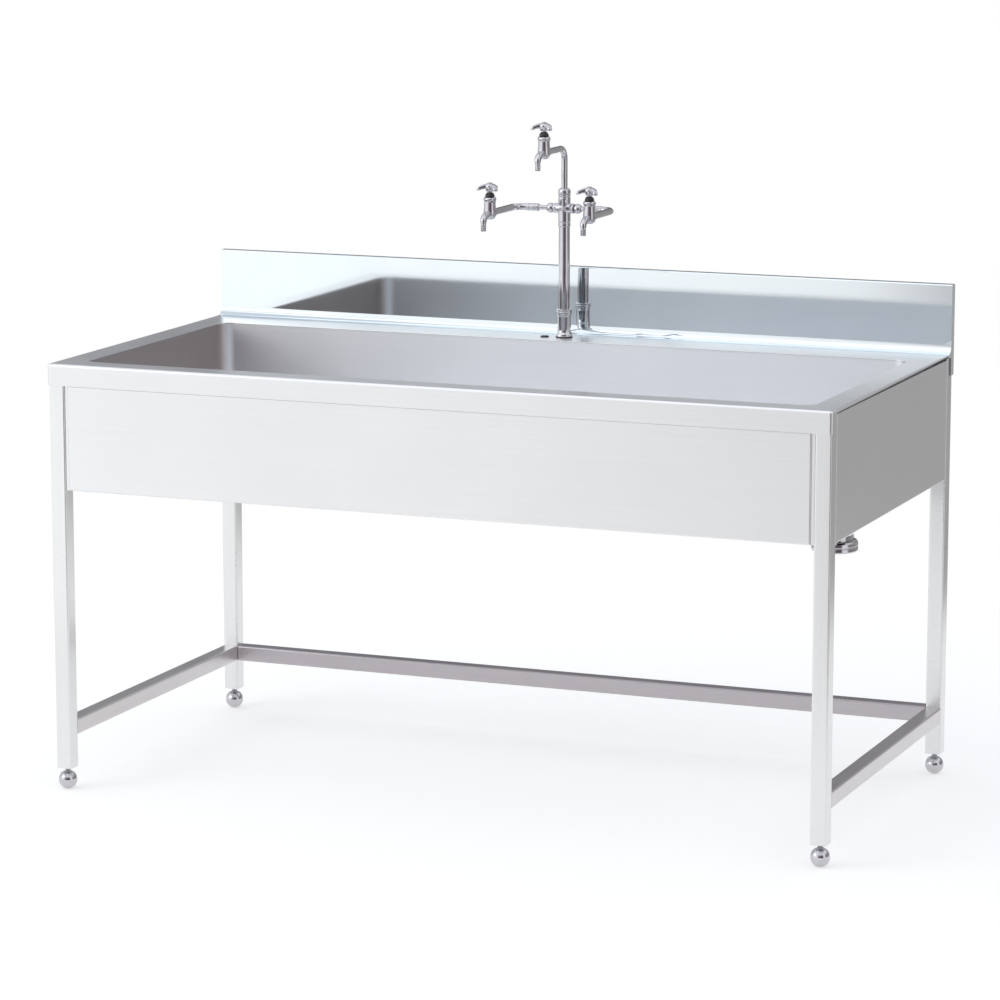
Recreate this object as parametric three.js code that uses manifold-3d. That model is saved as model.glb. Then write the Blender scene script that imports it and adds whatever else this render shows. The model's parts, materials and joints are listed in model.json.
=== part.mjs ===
// Laboratory sink unit: a long stainless basin with a raised back on a square-tube stand,
// ball feet for levelling and a chrome three-way tap on the rear deck.
// Millimetres, +Z up, +X to the right, +Y to the back. Origin on the floor under the middle of the unit.

import * as THREE from 'three';
import { mergeVertices } from 'three/addons/utils/BufferGeometryUtils.js';
import Module from 'manifold-3d';

const wasm = await Module();
wasm.setup();

// Overall size
const UNIT_WIDTH = 1500;
const UNIT_DEPTH = 750;
const TOP_HEIGHT = 800;

// Sheet metal and the gaps between pieces
const SHEET = 2;
const SEAT_GAP = 0.3;
const FIT_GAP = 0.4;

// Top sheet
const RIM_SIDE = 50;
const RIM_FRONT = 50;
const DECK_DEPTH = 102;
const EDGE_RADIUS = 5;
const FASCIA_HEIGHT = 40;
const FASCIA_RETURN = 15;
const FASCIA_END_RETURN = 4;
const SIDE_LIP_HEIGHT = 6;

// Backsplash
const SPLASH_HEIGHT = 130;
const SPLASH_THICKNESS = 18;
const SPLASH_EDGE_RADIUS = 3;
const COVE_RADIUS = 18;

// Basin
const BASIN_DEPTH = 200;
const BASIN_CORNER_RADIUS = 28;
const BASIN_FILLET_RADIUS = 18;
const BASIN_FLANGE = 4;

// Stand
const LEG_SIZE = 30;
const LEG_SETBACK = 4;
const LEG_BOTTOM = 40;
const TUBE_WALL = 1.5;
const TUBE_CORNER_RADIUS = 3;
const STRETCHER_BOTTOM = 100;
const RAIL_SIZE = 25;
const LEG_PLUG_HEIGHT = 14;

// Aprons and side panels
const PANEL_BOTTOM = 566;
const APRON_LEG_GAP = 6.5;
const APRON_TRAY_DEPTH = 14;
const SIDE_PANEL_SETBACK = 2.5;
const SIDE_TRAY_DEPTH = 15;
const SIDE_SHADOW_GAP = 3;

// Ball feet
const BALL_RADIUS = 17.5;
const BALL_FLAT_RADIUS = 6;
const STEM_RADIUS = 5;
const STEM_REACH = 20;

// Drain
const DRAIN_FROM_WALL = 64;
const DRAIN_BEHIND_MIDDLE = 50;
const DRAIN_TUBE_RADIUS = 38;
const DRAIN_TUBE_WALL = 2;
const DRAIN_TUBE_LENGTH = 40;
const DRAIN_FLANGE_RADIUS = 45;
const DRAIN_FLANGE_THICKNESS = 2.7;
const DRAIN_LEDGE_DEPTH = 10;
const DRAIN_LEDGE_WIDTH = 3.5;
const DRAIN_LEDGE_THICKNESS = 3;
const GASKET_THICKNESS = 3;
const GASKET_RADIUS = 53;
const LOCK_NUT_RADIUS = 52;
const LOCK_NUT_HEIGHT = 14;
const CUP_RADIUS = 42;
const CUP_HEIGHT = 52;
const CUP_TAPER = 13;
const NECK_RADIUS = 34;
const NECK_LENGTH = 30;
const NECK_WALL = 4;
const OUTLET_NUT_RADIUS = 42;
const OUTLET_NUT_HEIGHT = 21;
const OUTLET_NUT_DROP = 1.5;
const STRAINER_DEPTH = 22;
const STRAINER_WALL = 1.5;
const STRAINER_HOLE_RADIUS = 4;
const STRAINER_HOLE_RING = 17;
const STRAINER_HOLE_COUNT = 6;
const STRAINER_KNOB_RADIUS = 4;
const STRAINER_KNOB_HEIGHT = 26;

// Tap: base, column and cross, with heights above the deck
const TAP_FROM_SPLASH = 51;
const TAP_BASE_HEIGHT = 52;
const TAP_BASE_FOOT_RADIUS = 16;
const TAP_BASE_BODY_RADIUS = 13;
const TAP_BASE_COLLAR_RADIUS = 14.6;
const TAP_BASE_COLLAR_HEIGHT = 8;
const TAP_SHANK_RADIUS = 10;
const TAP_SHANK_LENGTH = 35;
const TAP_WATERWAY_RADIUS = 7;
const TAP_WASHER_THICKNESS = 1.5;
const TAP_LOCK_NUT_RADIUS = 17;
const TAP_LOCK_NUT_HEIGHT = 10;
const COLUMN_RADIUS = 10.5;
const COLUMN_SEAT = 6;
const SPIGOT_RADIUS = 8.7;
const SPIGOT_LENGTH = 8;
const CROSS_BOTTOM = 212;
const CROSS_TOP = 274;
const CROSS_AXIS = 247;
const CROSS_RADIUS = 11.3;
const CROSS_BOSS_REACH = 20;
const CROSS_BOSS_RADIUS = 9.5;

// Tap: side arms and riser
const ARM_REACH = 100;
const SIDE_TAP_FORWARD = 130;
const ARM_RADIUS = 6.3;
const ARM_BEND_RADIUS = 24;
const NIPPLE_RADIUS = 4.4;
const SLEEVE_RADIUS = 7.2;
const SLEEVE_START = 52;
const SLEEVE_LENGTH = 24;
const UNION_NUT_RADIUS = 9.5;
const UNION_NUT_WIDTH = 14;
const GLAND_RADIUS = 11.7;
const GLAND_HEIGHT = 11;
const RISER_RADIUS = 5.8;
const RISER_TOP = 362;
const RISER_BEND_RADIUS = 22;
const RISER_SOCKET_DEPTH = 16;
const UPPER_TAP_FORWARD = 107;

// One tap valve, with heights from the axis of its inlet
const VALVE_TOP = 30;
const VALVE_BOTTOM = 12;
const VALVE_RADIUS = 10.8;
const VALVE_WAIST_RADIUS = 9.6;
const INLET_BOSS_RADIUS = 8.6;
const INLET_BOSS_REACH = 17;
const INLET_SOCKET_DEPTH = 8;
const SPOUT_FORWARD = 32;
const SPOUT_RADIUS = 6;
const SPOUT_BOSS_RADIUS = 6.6;
const SPOUT_BOSS_TOP = -2;
const SPOUT_BOSS_BOTTOM = -13;
const SPOUT_BORE_RADIUS = 2.6;
const NOZZLE_SPIGOT_RADIUS = 3.9;
const NOZZLE_SPIGOT_LENGTH = 5;
const NOZZLE_RADIUS = 5.4;
const NOZZLE_WAIST_RADIUS = 4.6;
const NOZZLE_LENGTH = 18;
const CAP_RADIUS = 12.3;
const CAP_HEIGHT = 7;
const CAP_BAND_HEIGHT = 2.4;
const CAP_SHOULDER_RADIUS = 10.6;
const CAP_SHOULDER_HEIGHT = 5.6;
const CAP_TOP_RADIUS = 7;
const SPINDLE_RADIUS = 3;
const SPINDLE_DEPTH = 20;
const SPINDLE_HEAD_RADIUS = 4.6;
const SPINDLE_HEAD_HEIGHT = 1.8;
const HANDLE_LIFT = 3;
const HANDLE_HEIGHT = 15;
const HANDLE_HUB_RADIUS = 7.5;
const HANDLE_REACH = 25;
const HANDLE_ARM_WIDTH = 10;
const HANDLE_ARM_THICKNESS = 5.5;
const HANDLE_DROOP = 8.5;
const HANDLE_BEND_DROP = 1;
const HANDLE_TIP_ROUND = 1;
const HANDLE_ARM_ANGLES = [202, 82, -38];

// Plug in the spare deck hole, measured from the tap
const PLUG_LEFT = 36;
const PLUG_FORWARD = 10;
const PLUG_HEAD_RADIUS = 8.5;
const PLUG_HEAD_HEIGHT = 2.5;
const PLUG_STEM_RADIUS = 6;
const PLUG_STEM_LENGTH = 10;

// Roundness of the facets
const FINE_SIDES = 24;
const ROUND_SIDES = 14;
const PIPE_SIDES = 10;
const CORNER_STEPS = 2;
const BASIN_CORNER_STEPS = 5;
const FILLET_STEPS = 3;
const ARC_STEPS = 5;
const BALL_STEPS = 6;
const PIPE_STEPS = 10;
const NUT_SIDES = 6;

// Share of the radius at which the handles of a cubic curve stand for a quarter circle
const QUARTER_CURVE_SHARE = 0.5523;

// Length that a cutting shape runs past the face it cuts, and the distance at which points are one
const OVERRUN = 10;
const MERGE_DISTANCE = 1e-4;

// Places that follow from the sizes
const right = UNIT_WIDTH / 2;
const front = -UNIT_DEPTH / 2;
const rear = UNIT_DEPTH / 2;
const underTop = TOP_HEIGHT - SHEET;
const splashFace = rear - SPLASH_THICKNESS;
const splashTop = TOP_HEIGHT + SPLASH_HEIGHT;
const coveStart = splashFace - COVE_RADIUS;
const fasciaBottom = TOP_HEIGHT - FASCIA_HEIGHT;
const basinRight = right - RIM_SIDE;
const basinFront = front + RIM_FRONT;
const basinRear = splashFace - DECK_DEPTH;
const basinLength = 2 * basinRight;
const basinWidth = basinRear - basinFront;
const basinMiddleY = (basinFront + basinRear) / 2;
const basinTop = underTop - SEAT_GAP;
const floorTop = TOP_HEIGHT - BASIN_DEPTH;
const floorUnder = floorTop - SHEET;

const legOuterX = right - SHEET - SEAT_GAP;
const legInnerX = legOuterX - LEG_SIZE;
const legX = legOuterX - LEG_SIZE / 2;
const frontLegFace = front + LEG_SETBACK;
const frontLegBack = frontLegFace + LEG_SIZE;
const frontLegY = frontLegFace + LEG_SIZE / 2;
const rearLegBack = rear - SHEET - SEAT_GAP;
const rearLegFace = rearLegBack - LEG_SIZE;
const rearLegY = rearLegBack - LEG_SIZE / 2;
const legTop = TOP_HEIGHT - EDGE_RADIUS - SEAT_GAP;
const railTop = underTop - SEAT_GAP;

const apronBack = frontLegFace + APRON_TRAY_DEPTH;
const frontRailFace = apronBack + SEAT_GAP;
const frontRailBack = frontRailFace + RAIL_SIZE;
const rearRailFace = rearLegBack - RAIL_SIZE;
const sidePanelOuter = right - SIDE_PANEL_SETBACK;
const sidePanelInner = sidePanelOuter - SIDE_TRAY_DEPTH;
const sidePanelTop = TOP_HEIGHT - SIDE_LIP_HEIGHT - SIDE_SHADOW_GAP;
const sideRailX = sidePanelInner - SEAT_GAP - RAIL_SIZE / 2;

const drainX = basinRight - DRAIN_FROM_WALL;
const drainY = basinMiddleY + DRAIN_BEHIND_MIDDLE;
const tapY = splashFace - TAP_FROM_SPLASH;

// Finishes: colour, roughness and metalness
const FINISHES = {
  brushed: { color: 0xd3d5d8, roughness: 0.32, metalness: 1 },
  polished: { color: 0xdadde0, roughness: 0.12, metalness: 1 },
  chrome: { color: 0xe2e4e8, roughness: 0.06, metalness: 1 },
  zinc: { color: 0xb9bbbd, roughness: 0.5, metalness: 1 },
  black: { color: 0x1b1a1c, roughness: 0.35, metalness: 0 },
  rubber: { color: 0x232325, roughness: 0.8, metalness: 0 },
};

const unit = new THREE.Group();

// Adds one named piece to a group, with a material of its own.
function addPiece(group, name, finish, geometry) {
  const mesh = new THREE.Mesh(geometry, new THREE.MeshStandardMaterial(FINISHES[finish]));
  mesh.name = name;
  group.add(mesh);
}

// Solid for joining and cutting: shared points merged, triangles that shrank to a line dropped.
function solidOf(geometry) {
  const bare = geometry.clone();
  bare.deleteAttribute('normal');
  bare.deleteAttribute('uv');
  const merged = mergeVertices(bare, MERGE_DISTANCE);
  const corners = merged.index.array;
  const kept = [];
  for (let i = 0; i < corners.length; i += 3) {
    const [a, b, c] = [corners[i], corners[i + 1], corners[i + 2]];
    if (a !== b && b !== c && c !== a) kept.push(a, b, c);
  }
  const vertProperties = Float32Array.from(merged.attributes.position.array);
  const triVerts = Uint32Array.from(kept);
  return new wasm.Manifold(new wasm.Mesh({ numProp: 3, vertProperties, triVerts }));
}

function geometryOf(solid) {
  const mesh = solid.getMesh();
  const geometry = new THREE.BufferGeometry();
  geometry.setAttribute('position', new THREE.BufferAttribute(Float32Array.from(mesh.vertProperties), 3));
  geometry.setIndex(new THREE.BufferAttribute(Uint32Array.from(mesh.triVerts), 1));
  return geometry;
}

// Joins the geometries of one list and cuts those of the other from them.
function joinAndCut(joined, cut) {
  let solid = solidOf(joined[0]);
  for (const geometry of joined.slice(1)) solid = solid.add(solidOf(geometry));
  for (const geometry of cut) solid = solid.subtract(solidOf(geometry));
  return geometryOf(solid);
}

function slab(x, y, z) {
  const box = new THREE.BoxGeometry(x[1] - x[0], y[1] - y[0], z[1] - z[0]);
  return box.translate((x[0] + x[1]) / 2, (y[0] + y[1]) / 2, (z[0] + z[1]) / 2);
}

// Turns a profile of [radius, height] points about the Z axis, listed up the outside and down the inside.
function turned(profile, sides) {
  const points = profile.map(([radius, height]) => new THREE.Vector2(radius, height));
  return new THREE.LatheGeometry(points, sides).rotateX(Math.PI / 2);
}

function ring(innerRadius, outerRadius, bottom, top, sides) {
  const profile = [[innerRadius, bottom], [outerRadius, bottom], [outerRadius, top], [innerRadius, top]];
  return turned([...profile, profile[0]], sides);
}

function rod(radius, bottom, top, sides) {
  return turned([[0, bottom], [radius, bottom], [radius, top], [0, top]], sides);
}

// Points of an arc, in radians, for the outlines and profiles below.
function arc(centreA, centreB, radius, from, to, steps) {
  const points = [];
  for (let i = 0; i <= steps; i += 1) {
    const angle = from + (to - from) * i / steps;
    points.push([centreA + radius * Math.cos(angle), centreB + radius * Math.sin(angle)]);
  }
  return points;
}

function outline(points) {
  return new THREE.Shape(points.map(([a, b]) => new THREE.Vector2(a, b)));
}

function roundedRectangle(width, depth, radius, steps) {
  const x = width / 2 - radius;
  const y = depth / 2 - radius;
  const quarter = Math.PI / 2;
  return outline([
    ...arc(x, y, radius, 0, quarter, steps),
    ...arc(-x, y, radius, quarter, 2 * quarter, steps),
    ...arc(-x, -y, radius, 2 * quarter, 3 * quarter, steps),
    ...arc(x, -y, radius, 3 * quarter, 4 * quarter, steps),
  ]);
}

function prism(shape, bottom, top) {
  const geometry = new THREE.ExtrudeGeometry(shape, { depth: top - bottom, bevelEnabled: false });
  return geometry.translate(0, 0, bottom);
}

const axisX = new THREE.Vector3(1, 0, 0);
const axisY = new THREE.Vector3(0, 1, 0);
const axisZ = new THREE.Vector3(0, 0, 1);

// Prism along X of a shape drawn in Y and Z.
function prismAlongX(shape, from, to) {
  return prism(shape, from, to).applyMatrix4(new THREE.Matrix4().makeBasis(axisY, axisZ, axisX));
}

// Prism along Y of a shape drawn in Z and X.
function prismAlongY(shape, from, to) {
  return prism(shape, from, to).applyMatrix4(new THREE.Matrix4().makeBasis(axisZ, axisX, axisY));
}

// Inside of a square tube, drawn smaller by a gap on each side.
function tubeInsideShape(size, gap) {
  const inside = size - 2 * TUBE_WALL - 2 * gap;
  const radius = Math.max(TUBE_CORNER_RADIUS - TUBE_WALL, TUBE_WALL / 2);
  return roundedRectangle(inside, inside, radius, CORNER_STEPS);
}

function squareTubeShape(size) {
  const shape = roundedRectangle(size, size, TUBE_CORNER_RADIUS, CORNER_STEPS);
  shape.holes.push(tubeInsideShape(size, 0));
  return shape;
}

// Round pipe along two straight runs and the bend between them.
function bentPipe(start, corner, end, bendRadius, radius) {
  const toStart = start.clone().sub(corner).normalize();
  const toEnd = end.clone().sub(corner).normalize();
  const bendStart = corner.clone().addScaledVector(toStart, bendRadius);
  const bendEnd = corner.clone().addScaledVector(toEnd, bendRadius);
  const pull = bendRadius * (1 - QUARTER_CURVE_SHARE);
  const startPull = corner.clone().addScaledVector(toStart, pull);
  const endPull = corner.clone().addScaledVector(toEnd, pull);
  const path = new THREE.CurvePath();
  path.add(new THREE.LineCurve3(start, bendStart));
  path.add(new THREE.CubicBezierCurve3(bendStart, startPull, endPull, bendEnd));
  path.add(new THREE.LineCurve3(bendEnd, end));
  const section = outline(arc(0, 0, radius, 0, 2 * Math.PI, PIPE_SIDES).slice(0, -1));
  return new THREE.ExtrudeGeometry(section, { steps: PIPE_STEPS, extrudePath: path });
}

// Top sheet: a shallow lid with rounded edges, open over the basin, with a tap hole and a spare hole
function topBlock(inset, bottom) {
  const radius = EDGE_RADIUS - inset;
  const top = TOP_HEIGHT - inset;
  const side = right - inset;
  const lead = front + inset;
  const back = coveStart - SEAT_GAP + (inset > 0 ? OVERRUN : 0);
  const across = outline([
    [bottom, -side], [bottom, side],
    ...arc(top - radius, side - radius, radius, Math.PI / 2, 0, ARC_STEPS),
    ...arc(top - radius, radius - side, radius, 0, -Math.PI / 2, ARC_STEPS),
  ]);
  const along = outline([
    [lead, bottom], [back, bottom], [back, top],
    ...arc(lead + radius, top - radius, radius, Math.PI / 2, Math.PI, ARC_STEPS),
  ]);
  const lengthwise = solidOf(prismAlongX(along, -right, right));
  return lengthwise.intersect(solidOf(prismAlongY(across, front, rear)));
}

function basinOutline(grow) {
  const radius = BASIN_CORNER_RADIUS + grow;
  return roundedRectangle(basinLength + 2 * grow, basinWidth + 2 * grow, radius, BASIN_CORNER_STEPS);
}

function makeTopSheet() {
  const opening = prism(basinOutline(0), fasciaBottom, TOP_HEIGHT + OVERRUN).translate(0, basinMiddleY, 0);
  const tapHole = rod(TAP_SHANK_RADIUS + FIT_GAP, fasciaBottom, TOP_HEIGHT + OVERRUN, ROUND_SIDES);
  const spareHole = rod(PLUG_STEM_RADIUS + FIT_GAP, fasciaBottom, TOP_HEIGHT + OVERRUN, ROUND_SIDES);
  const lipBottom = TOP_HEIGHT - SIDE_LIP_HEIGHT;
  const lipCutFront = front + FASCIA_END_RETURN;
  const lipCuts = [-right, right].map((x) => slab(
    [x - OVERRUN, x + OVERRUN], [lipCutFront, rear], [fasciaBottom - OVERRUN, lipBottom],
  ));
  const returnReach = legInnerX - FIT_GAP;
  const fasciaReturn = slab(
    [-returnReach, returnReach],
    [front + SHEET / 2, front + FASCIA_RETURN],
    [fasciaBottom, fasciaBottom + SHEET],
  );
  let sheet = topBlock(0, fasciaBottom).subtract(topBlock(SHEET, fasciaBottom - OVERRUN));
  sheet = sheet.add(solidOf(fasciaReturn));
  sheet = sheet.subtract(solidOf(opening));
  sheet = sheet.subtract(solidOf(tapHole.translate(0, tapY, 0)));
  sheet = sheet.subtract(solidOf(spareHole.translate(-PLUG_LEFT, tapY - PLUG_FORWARD, 0)));
  for (const cut of lipCuts) sheet = sheet.subtract(solidOf(cut));
  return geometryOf(sheet);
}

// Backsplash: cove, upright, top edge and rear fold of one sheet, with closed ends
function makeBacksplash() {
  const quarter = Math.PI / 2;
  const coveTop = TOP_HEIGHT + COVE_RADIUS;
  const edge = SPLASH_EDGE_RADIUS;
  const innerEdge = edge - SHEET;
  const visibleFace = [
    ...arc(rear - edge, splashTop - edge, edge, 0, quarter, CORNER_STEPS),
    ...arc(splashFace + edge, splashTop - edge, edge, quarter, 2 * quarter, CORNER_STEPS),
    ...arc(coveStart, coveTop, COVE_RADIUS, 0, -quarter, ARC_STEPS),
  ];
  const hiddenFace = [
    ...arc(coveStart, coveTop, COVE_RADIUS + SHEET, -quarter, 0, ARC_STEPS),
    ...arc(splashFace + edge, splashTop - edge, innerEdge, 2 * quarter, quarter, CORNER_STEPS),
    ...arc(rear - edge, splashTop - edge, innerEdge, quarter, 0, CORNER_STEPS),
  ];
  const lipBottom = TOP_HEIGHT - SIDE_LIP_HEIGHT;
  const filled = outline([
    ...visibleFace, [coveStart, lipBottom], [splashFace, lipBottom], [splashFace, fasciaBottom],
    [rear, fasciaBottom],
  ]);
  const hollow = outline([
    ...hiddenFace, [rear - SHEET, fasciaBottom - OVERRUN], [coveStart - OVERRUN, fasciaBottom - OVERRUN],
    [coveStart - OVERRUN, underTop],
  ]);
  const innerEnd = right - SHEET;
  return joinAndCut([prismAlongX(filled, -right, right)], [prismAlongX(hollow, -innerEnd, innerEnd)]);
}

// Basin: a bowl with round corners and a round foot, hung from a narrow flange under the top sheet
function bowl(grow, bottom, top) {
  const radius = BASIN_FILLET_RADIUS + grow;
  const geometry = new THREE.ExtrudeGeometry(basinOutline(grow), {
    depth: top - bottom,
    bevelThickness: radius,
    bevelSize: radius,
    bevelOffset: -radius,
    bevelSegments: FILLET_STEPS,
  });
  return geometry.translate(0, basinMiddleY, bottom + radius);
}

function makeBasin() {
  const flangeGrow = SHEET + BASIN_FLANGE;
  const flange = prism(basinOutline(flangeGrow), basinTop - SHEET, basinTop).translate(0, basinMiddleY, 0);
  const above = slab([-right, right], [front, rear], [basinTop, TOP_HEIGHT + BASIN_DEPTH]);
  const drainHole = rod(DRAIN_TUBE_RADIUS + FIT_GAP, floorUnder - OVERRUN, floorTop + OVERRUN, FINE_SIDES);
  let basin = solidOf(bowl(SHEET, floorUnder, TOP_HEIGHT)).subtract(solidOf(above));
  basin = basin.add(solidOf(flange));
  basin = basin.subtract(solidOf(bowl(0, floorTop, TOP_HEIGHT)));
  basin = basin.subtract(solidOf(drainHole.translate(drainX, drainY, 0)));
  return geometryOf(basin);
}

// Front apron and side panels: folded trays, open to the inside
function makeFrontApron() {
  const reach = legInnerX - APRON_LEG_GAP;
  const top = fasciaBottom - SEAT_GAP;
  const inside = reach - SHEET;
  const tray = slab([-reach, reach], [frontLegFace, apronBack], [PANEL_BOTTOM, top]);
  const hollow = slab(
    [-inside, inside], [frontLegFace + SHEET, apronBack + OVERRUN], [PANEL_BOTTOM + SHEET, top - SHEET],
  );
  return joinAndCut([tray], [hollow]);
}

function makeSidePanel(side) {
  const y = [frontLegBack + SEAT_GAP, rearLegFace - SEAT_GAP];
  const sorted = (a, b) => [Math.min(a, b), Math.max(a, b)];
  const tray = slab(sorted(side * sidePanelInner, side * sidePanelOuter), y, [PANEL_BOTTOM, sidePanelTop]);
  const hollow = slab(
    sorted(side * (sidePanelInner - OVERRUN), side * (sidePanelOuter - SHEET)),
    [y[0] + SHEET, y[1] - SHEET],
    [PANEL_BOTTOM + SHEET, sidePanelTop - SHEET],
  );
  return joinAndCut([tray], [hollow]);
}

// Ball foot: a ball with a small flat to stand on and a threaded stem
function makeFoot() {
  const flatAngle = Math.asin(BALL_FLAT_RADIUS / BALL_RADIUS);
  const stemAngle = Math.asin(STEM_RADIUS / BALL_RADIUS);
  const centre = BALL_RADIUS * Math.cos(flatAngle);
  const ball = arc(0, centre, BALL_RADIUS, flatAngle - Math.PI / 2, Math.PI / 2 - stemAngle, BALL_STEPS);
  const stemTop = LEG_BOTTOM + LEG_PLUG_HEIGHT + STEM_REACH;
  return turned([[0, 0], ...ball, [STEM_RADIUS, stemTop], [0, stemTop]], FINE_SIDES);
}

function makeLegPlug() {
  const block = prism(tubeInsideShape(LEG_SIZE, SEAT_GAP), LEG_BOTTOM, LEG_BOTTOM + LEG_PLUG_HEIGHT);
  const bore = rod(STEM_RADIUS + FIT_GAP, 0, TOP_HEIGHT, FINE_SIDES);
  return joinAndCut([block], [bore]);
}

const stand = new THREE.Group();
unit.add(stand);
const legPlaces = {
  front_left: [-legX, frontLegY],
  front_right: [legX, frontLegY],
  rear_left: [-legX, rearLegY],
  rear_right: [legX, rearLegY],
};
for (const [place, [x, y]] of Object.entries(legPlaces)) {
  const corner = new THREE.Group();
  corner.position.set(x, y, 0);
  stand.add(corner);
  addPiece(corner, `leg_${place}`, 'brushed', prism(squareTubeShape(LEG_SIZE), LEG_BOTTOM, legTop));
  addPiece(corner, `leg_plug_${place}`, 'zinc', makeLegPlug());
  addPiece(corner, `foot_${place}`, 'chrome', makeFoot());
}

const stretcherZ = STRETCHER_BOTTOM + LEG_SIZE / 2;
const railZ = railTop - RAIL_SIZE / 2;
const crossReach = legInnerX - SEAT_GAP;
const sideRun = [frontLegBack + SEAT_GAP, rearLegFace - SEAT_GAP];
const sideRailRun = [
  Math.max(frontRailBack, frontLegBack) + SEAT_GAP,
  Math.min(rearRailFace, rearLegFace) - SEAT_GAP,
];
for (const [place, side] of [['left', -1], ['right', 1]]) {
  const stretcher = prismAlongY(squareTubeShape(LEG_SIZE), ...sideRun);
  const rail = prismAlongY(squareTubeShape(RAIL_SIZE), ...sideRailRun);
  addPiece(stand, `${place}_stretcher`, 'brushed', stretcher.translate(side * legX, 0, stretcherZ));
  addPiece(stand, `${place}_top_rail`, 'brushed', rail.translate(side * sideRailX, 0, railZ));
  addPiece(stand, `${place}_side_panel`, 'brushed', makeSidePanel(side));
}
const rearStretcher = prismAlongX(squareTubeShape(LEG_SIZE), -crossReach, crossReach);
addPiece(stand, 'rear_stretcher', 'brushed', rearStretcher.translate(0, rearLegY, stretcherZ));
for (const [place, face] of [['front', frontRailFace], ['rear', rearRailFace]]) {
  const rail = prismAlongX(squareTubeShape(RAIL_SIZE), -crossReach, crossReach);
  addPiece(stand, `${place}_top_rail`, 'brushed', rail.translate(0, face + RAIL_SIZE / 2, railZ));
}
addPiece(stand, 'front_apron', 'brushed', makeFrontApron());

const top = new THREE.Group();
unit.add(top);
addPiece(top, 'top_sheet', 'brushed', makeTopSheet());
addPiece(top, 'backsplash', 'polished', makeBacksplash());
addPiece(top, 'basin', 'brushed', makeBasin());

// Drain: heights measured from the basin floor
const drain = new THREE.Group();
drain.position.set(drainX, drainY, floorTop);
unit.add(drain);

const drainBore = DRAIN_TUBE_RADIUS - DRAIN_TUBE_WALL;
const ledgeTop = -DRAIN_LEDGE_DEPTH;
const ledgeRadius = drainBore - DRAIN_LEDGE_WIDTH;
const gasketTop = -SHEET - SEAT_GAP;
const lockNutTop = gasketTop - GASKET_THICKNESS - SEAT_GAP;
const cupTop = lockNutTop - LOCK_NUT_HEIGHT - SEAT_GAP;
const cupBottom = cupTop - CUP_HEIGHT;
const neckTop = cupBottom - CUP_TAPER;
const neckBottom = neckTop - NECK_LENGTH;
const outletNutBottom = neckBottom - OUTLET_NUT_DROP;

function makeDrainFlange() {
  const lip = SEAT_GAP + DRAIN_FLANGE_THICKNESS;
  const profile = [
    [drainBore, -DRAIN_TUBE_LENGTH],
    [DRAIN_TUBE_RADIUS, -DRAIN_TUBE_LENGTH],
    [DRAIN_TUBE_RADIUS, SEAT_GAP],
    [DRAIN_FLANGE_RADIUS, SEAT_GAP],
    [DRAIN_FLANGE_RADIUS, SEAT_GAP + DRAIN_FLANGE_THICKNESS / 2],
    [DRAIN_FLANGE_RADIUS - DRAIN_LEDGE_WIDTH, lip],
    [drainBore, lip],
    [drainBore, ledgeTop],
    [ledgeRadius, ledgeTop],
    [ledgeRadius, ledgeTop - DRAIN_LEDGE_THICKNESS],
    [drainBore, ledgeTop - DRAIN_LEDGE_THICKNESS - DRAIN_LEDGE_WIDTH],
  ];
  return turned([...profile, profile[0]], FINE_SIDES);
}

function makeStrainer() {
  const rimRadius = drainBore - FIT_GAP;
  const rimBottom = ledgeTop + SEAT_GAP;
  const rimTop = rimBottom + STRAINER_WALL;
  const wallRadius = ledgeRadius - FIT_GAP;
  const basketBottom = rimBottom - STRAINER_DEPTH;
  const basketFloor = basketBottom + STRAINER_WALL;
  const knobTop = basketBottom + STRAINER_KNOB_HEIGHT;
  const basket = turned([
    [0, basketBottom],
    [wallRadius, basketBottom],
    [wallRadius, rimBottom],
    [rimRadius, rimBottom],
    [rimRadius, rimTop],
    [wallRadius - STRAINER_WALL, rimTop],
    [wallRadius - STRAINER_WALL, basketFloor],
    [STRAINER_KNOB_RADIUS, basketFloor],
    [STRAINER_KNOB_RADIUS, knobTop],
    [0, knobTop],
  ], FINE_SIDES);
  const holes = [];
  for (let i = 0; i < STRAINER_HOLE_COUNT; i += 1) {
    const angle = 2 * Math.PI * i / STRAINER_HOLE_COUNT;
    const hole = rod(STRAINER_HOLE_RADIUS, basketBottom - OVERRUN, basketFloor + OVERRUN, PIPE_SIDES);
    holes.push(hole.translate(STRAINER_HOLE_RING, 0, 0).rotateZ(angle));
  }
  return joinAndCut([basket], holes);
}

function makeLockNut(outerRadius, boreRadius, bottom, topFace) {
  const shape = outline(arc(0, 0, outerRadius, 0, 2 * Math.PI, NUT_SIDES).slice(0, -1));
  const bore = outline(arc(0, 0, boreRadius, 0, 2 * Math.PI, FINE_SIDES).slice(0, -1));
  shape.holes.push(bore);
  return prism(shape, bottom, topFace);
}

function makeDrainCup() {
  const socketRadius = DRAIN_TUBE_RADIUS + FIT_GAP;
  const socketBottom = -DRAIN_TUBE_LENGTH - SEAT_GAP;
  const bore = NECK_RADIUS - NECK_WALL;
  const profile = [
    [bore, neckBottom],
    [NECK_RADIUS, neckBottom],
    [NECK_RADIUS, neckTop],
    [CUP_RADIUS, cupBottom],
    [CUP_RADIUS, cupTop],
    [socketRadius, cupTop],
    [socketRadius, socketBottom],
    [bore, socketBottom],
  ];
  return turned([...profile, profile[0]], FINE_SIDES);
}

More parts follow.
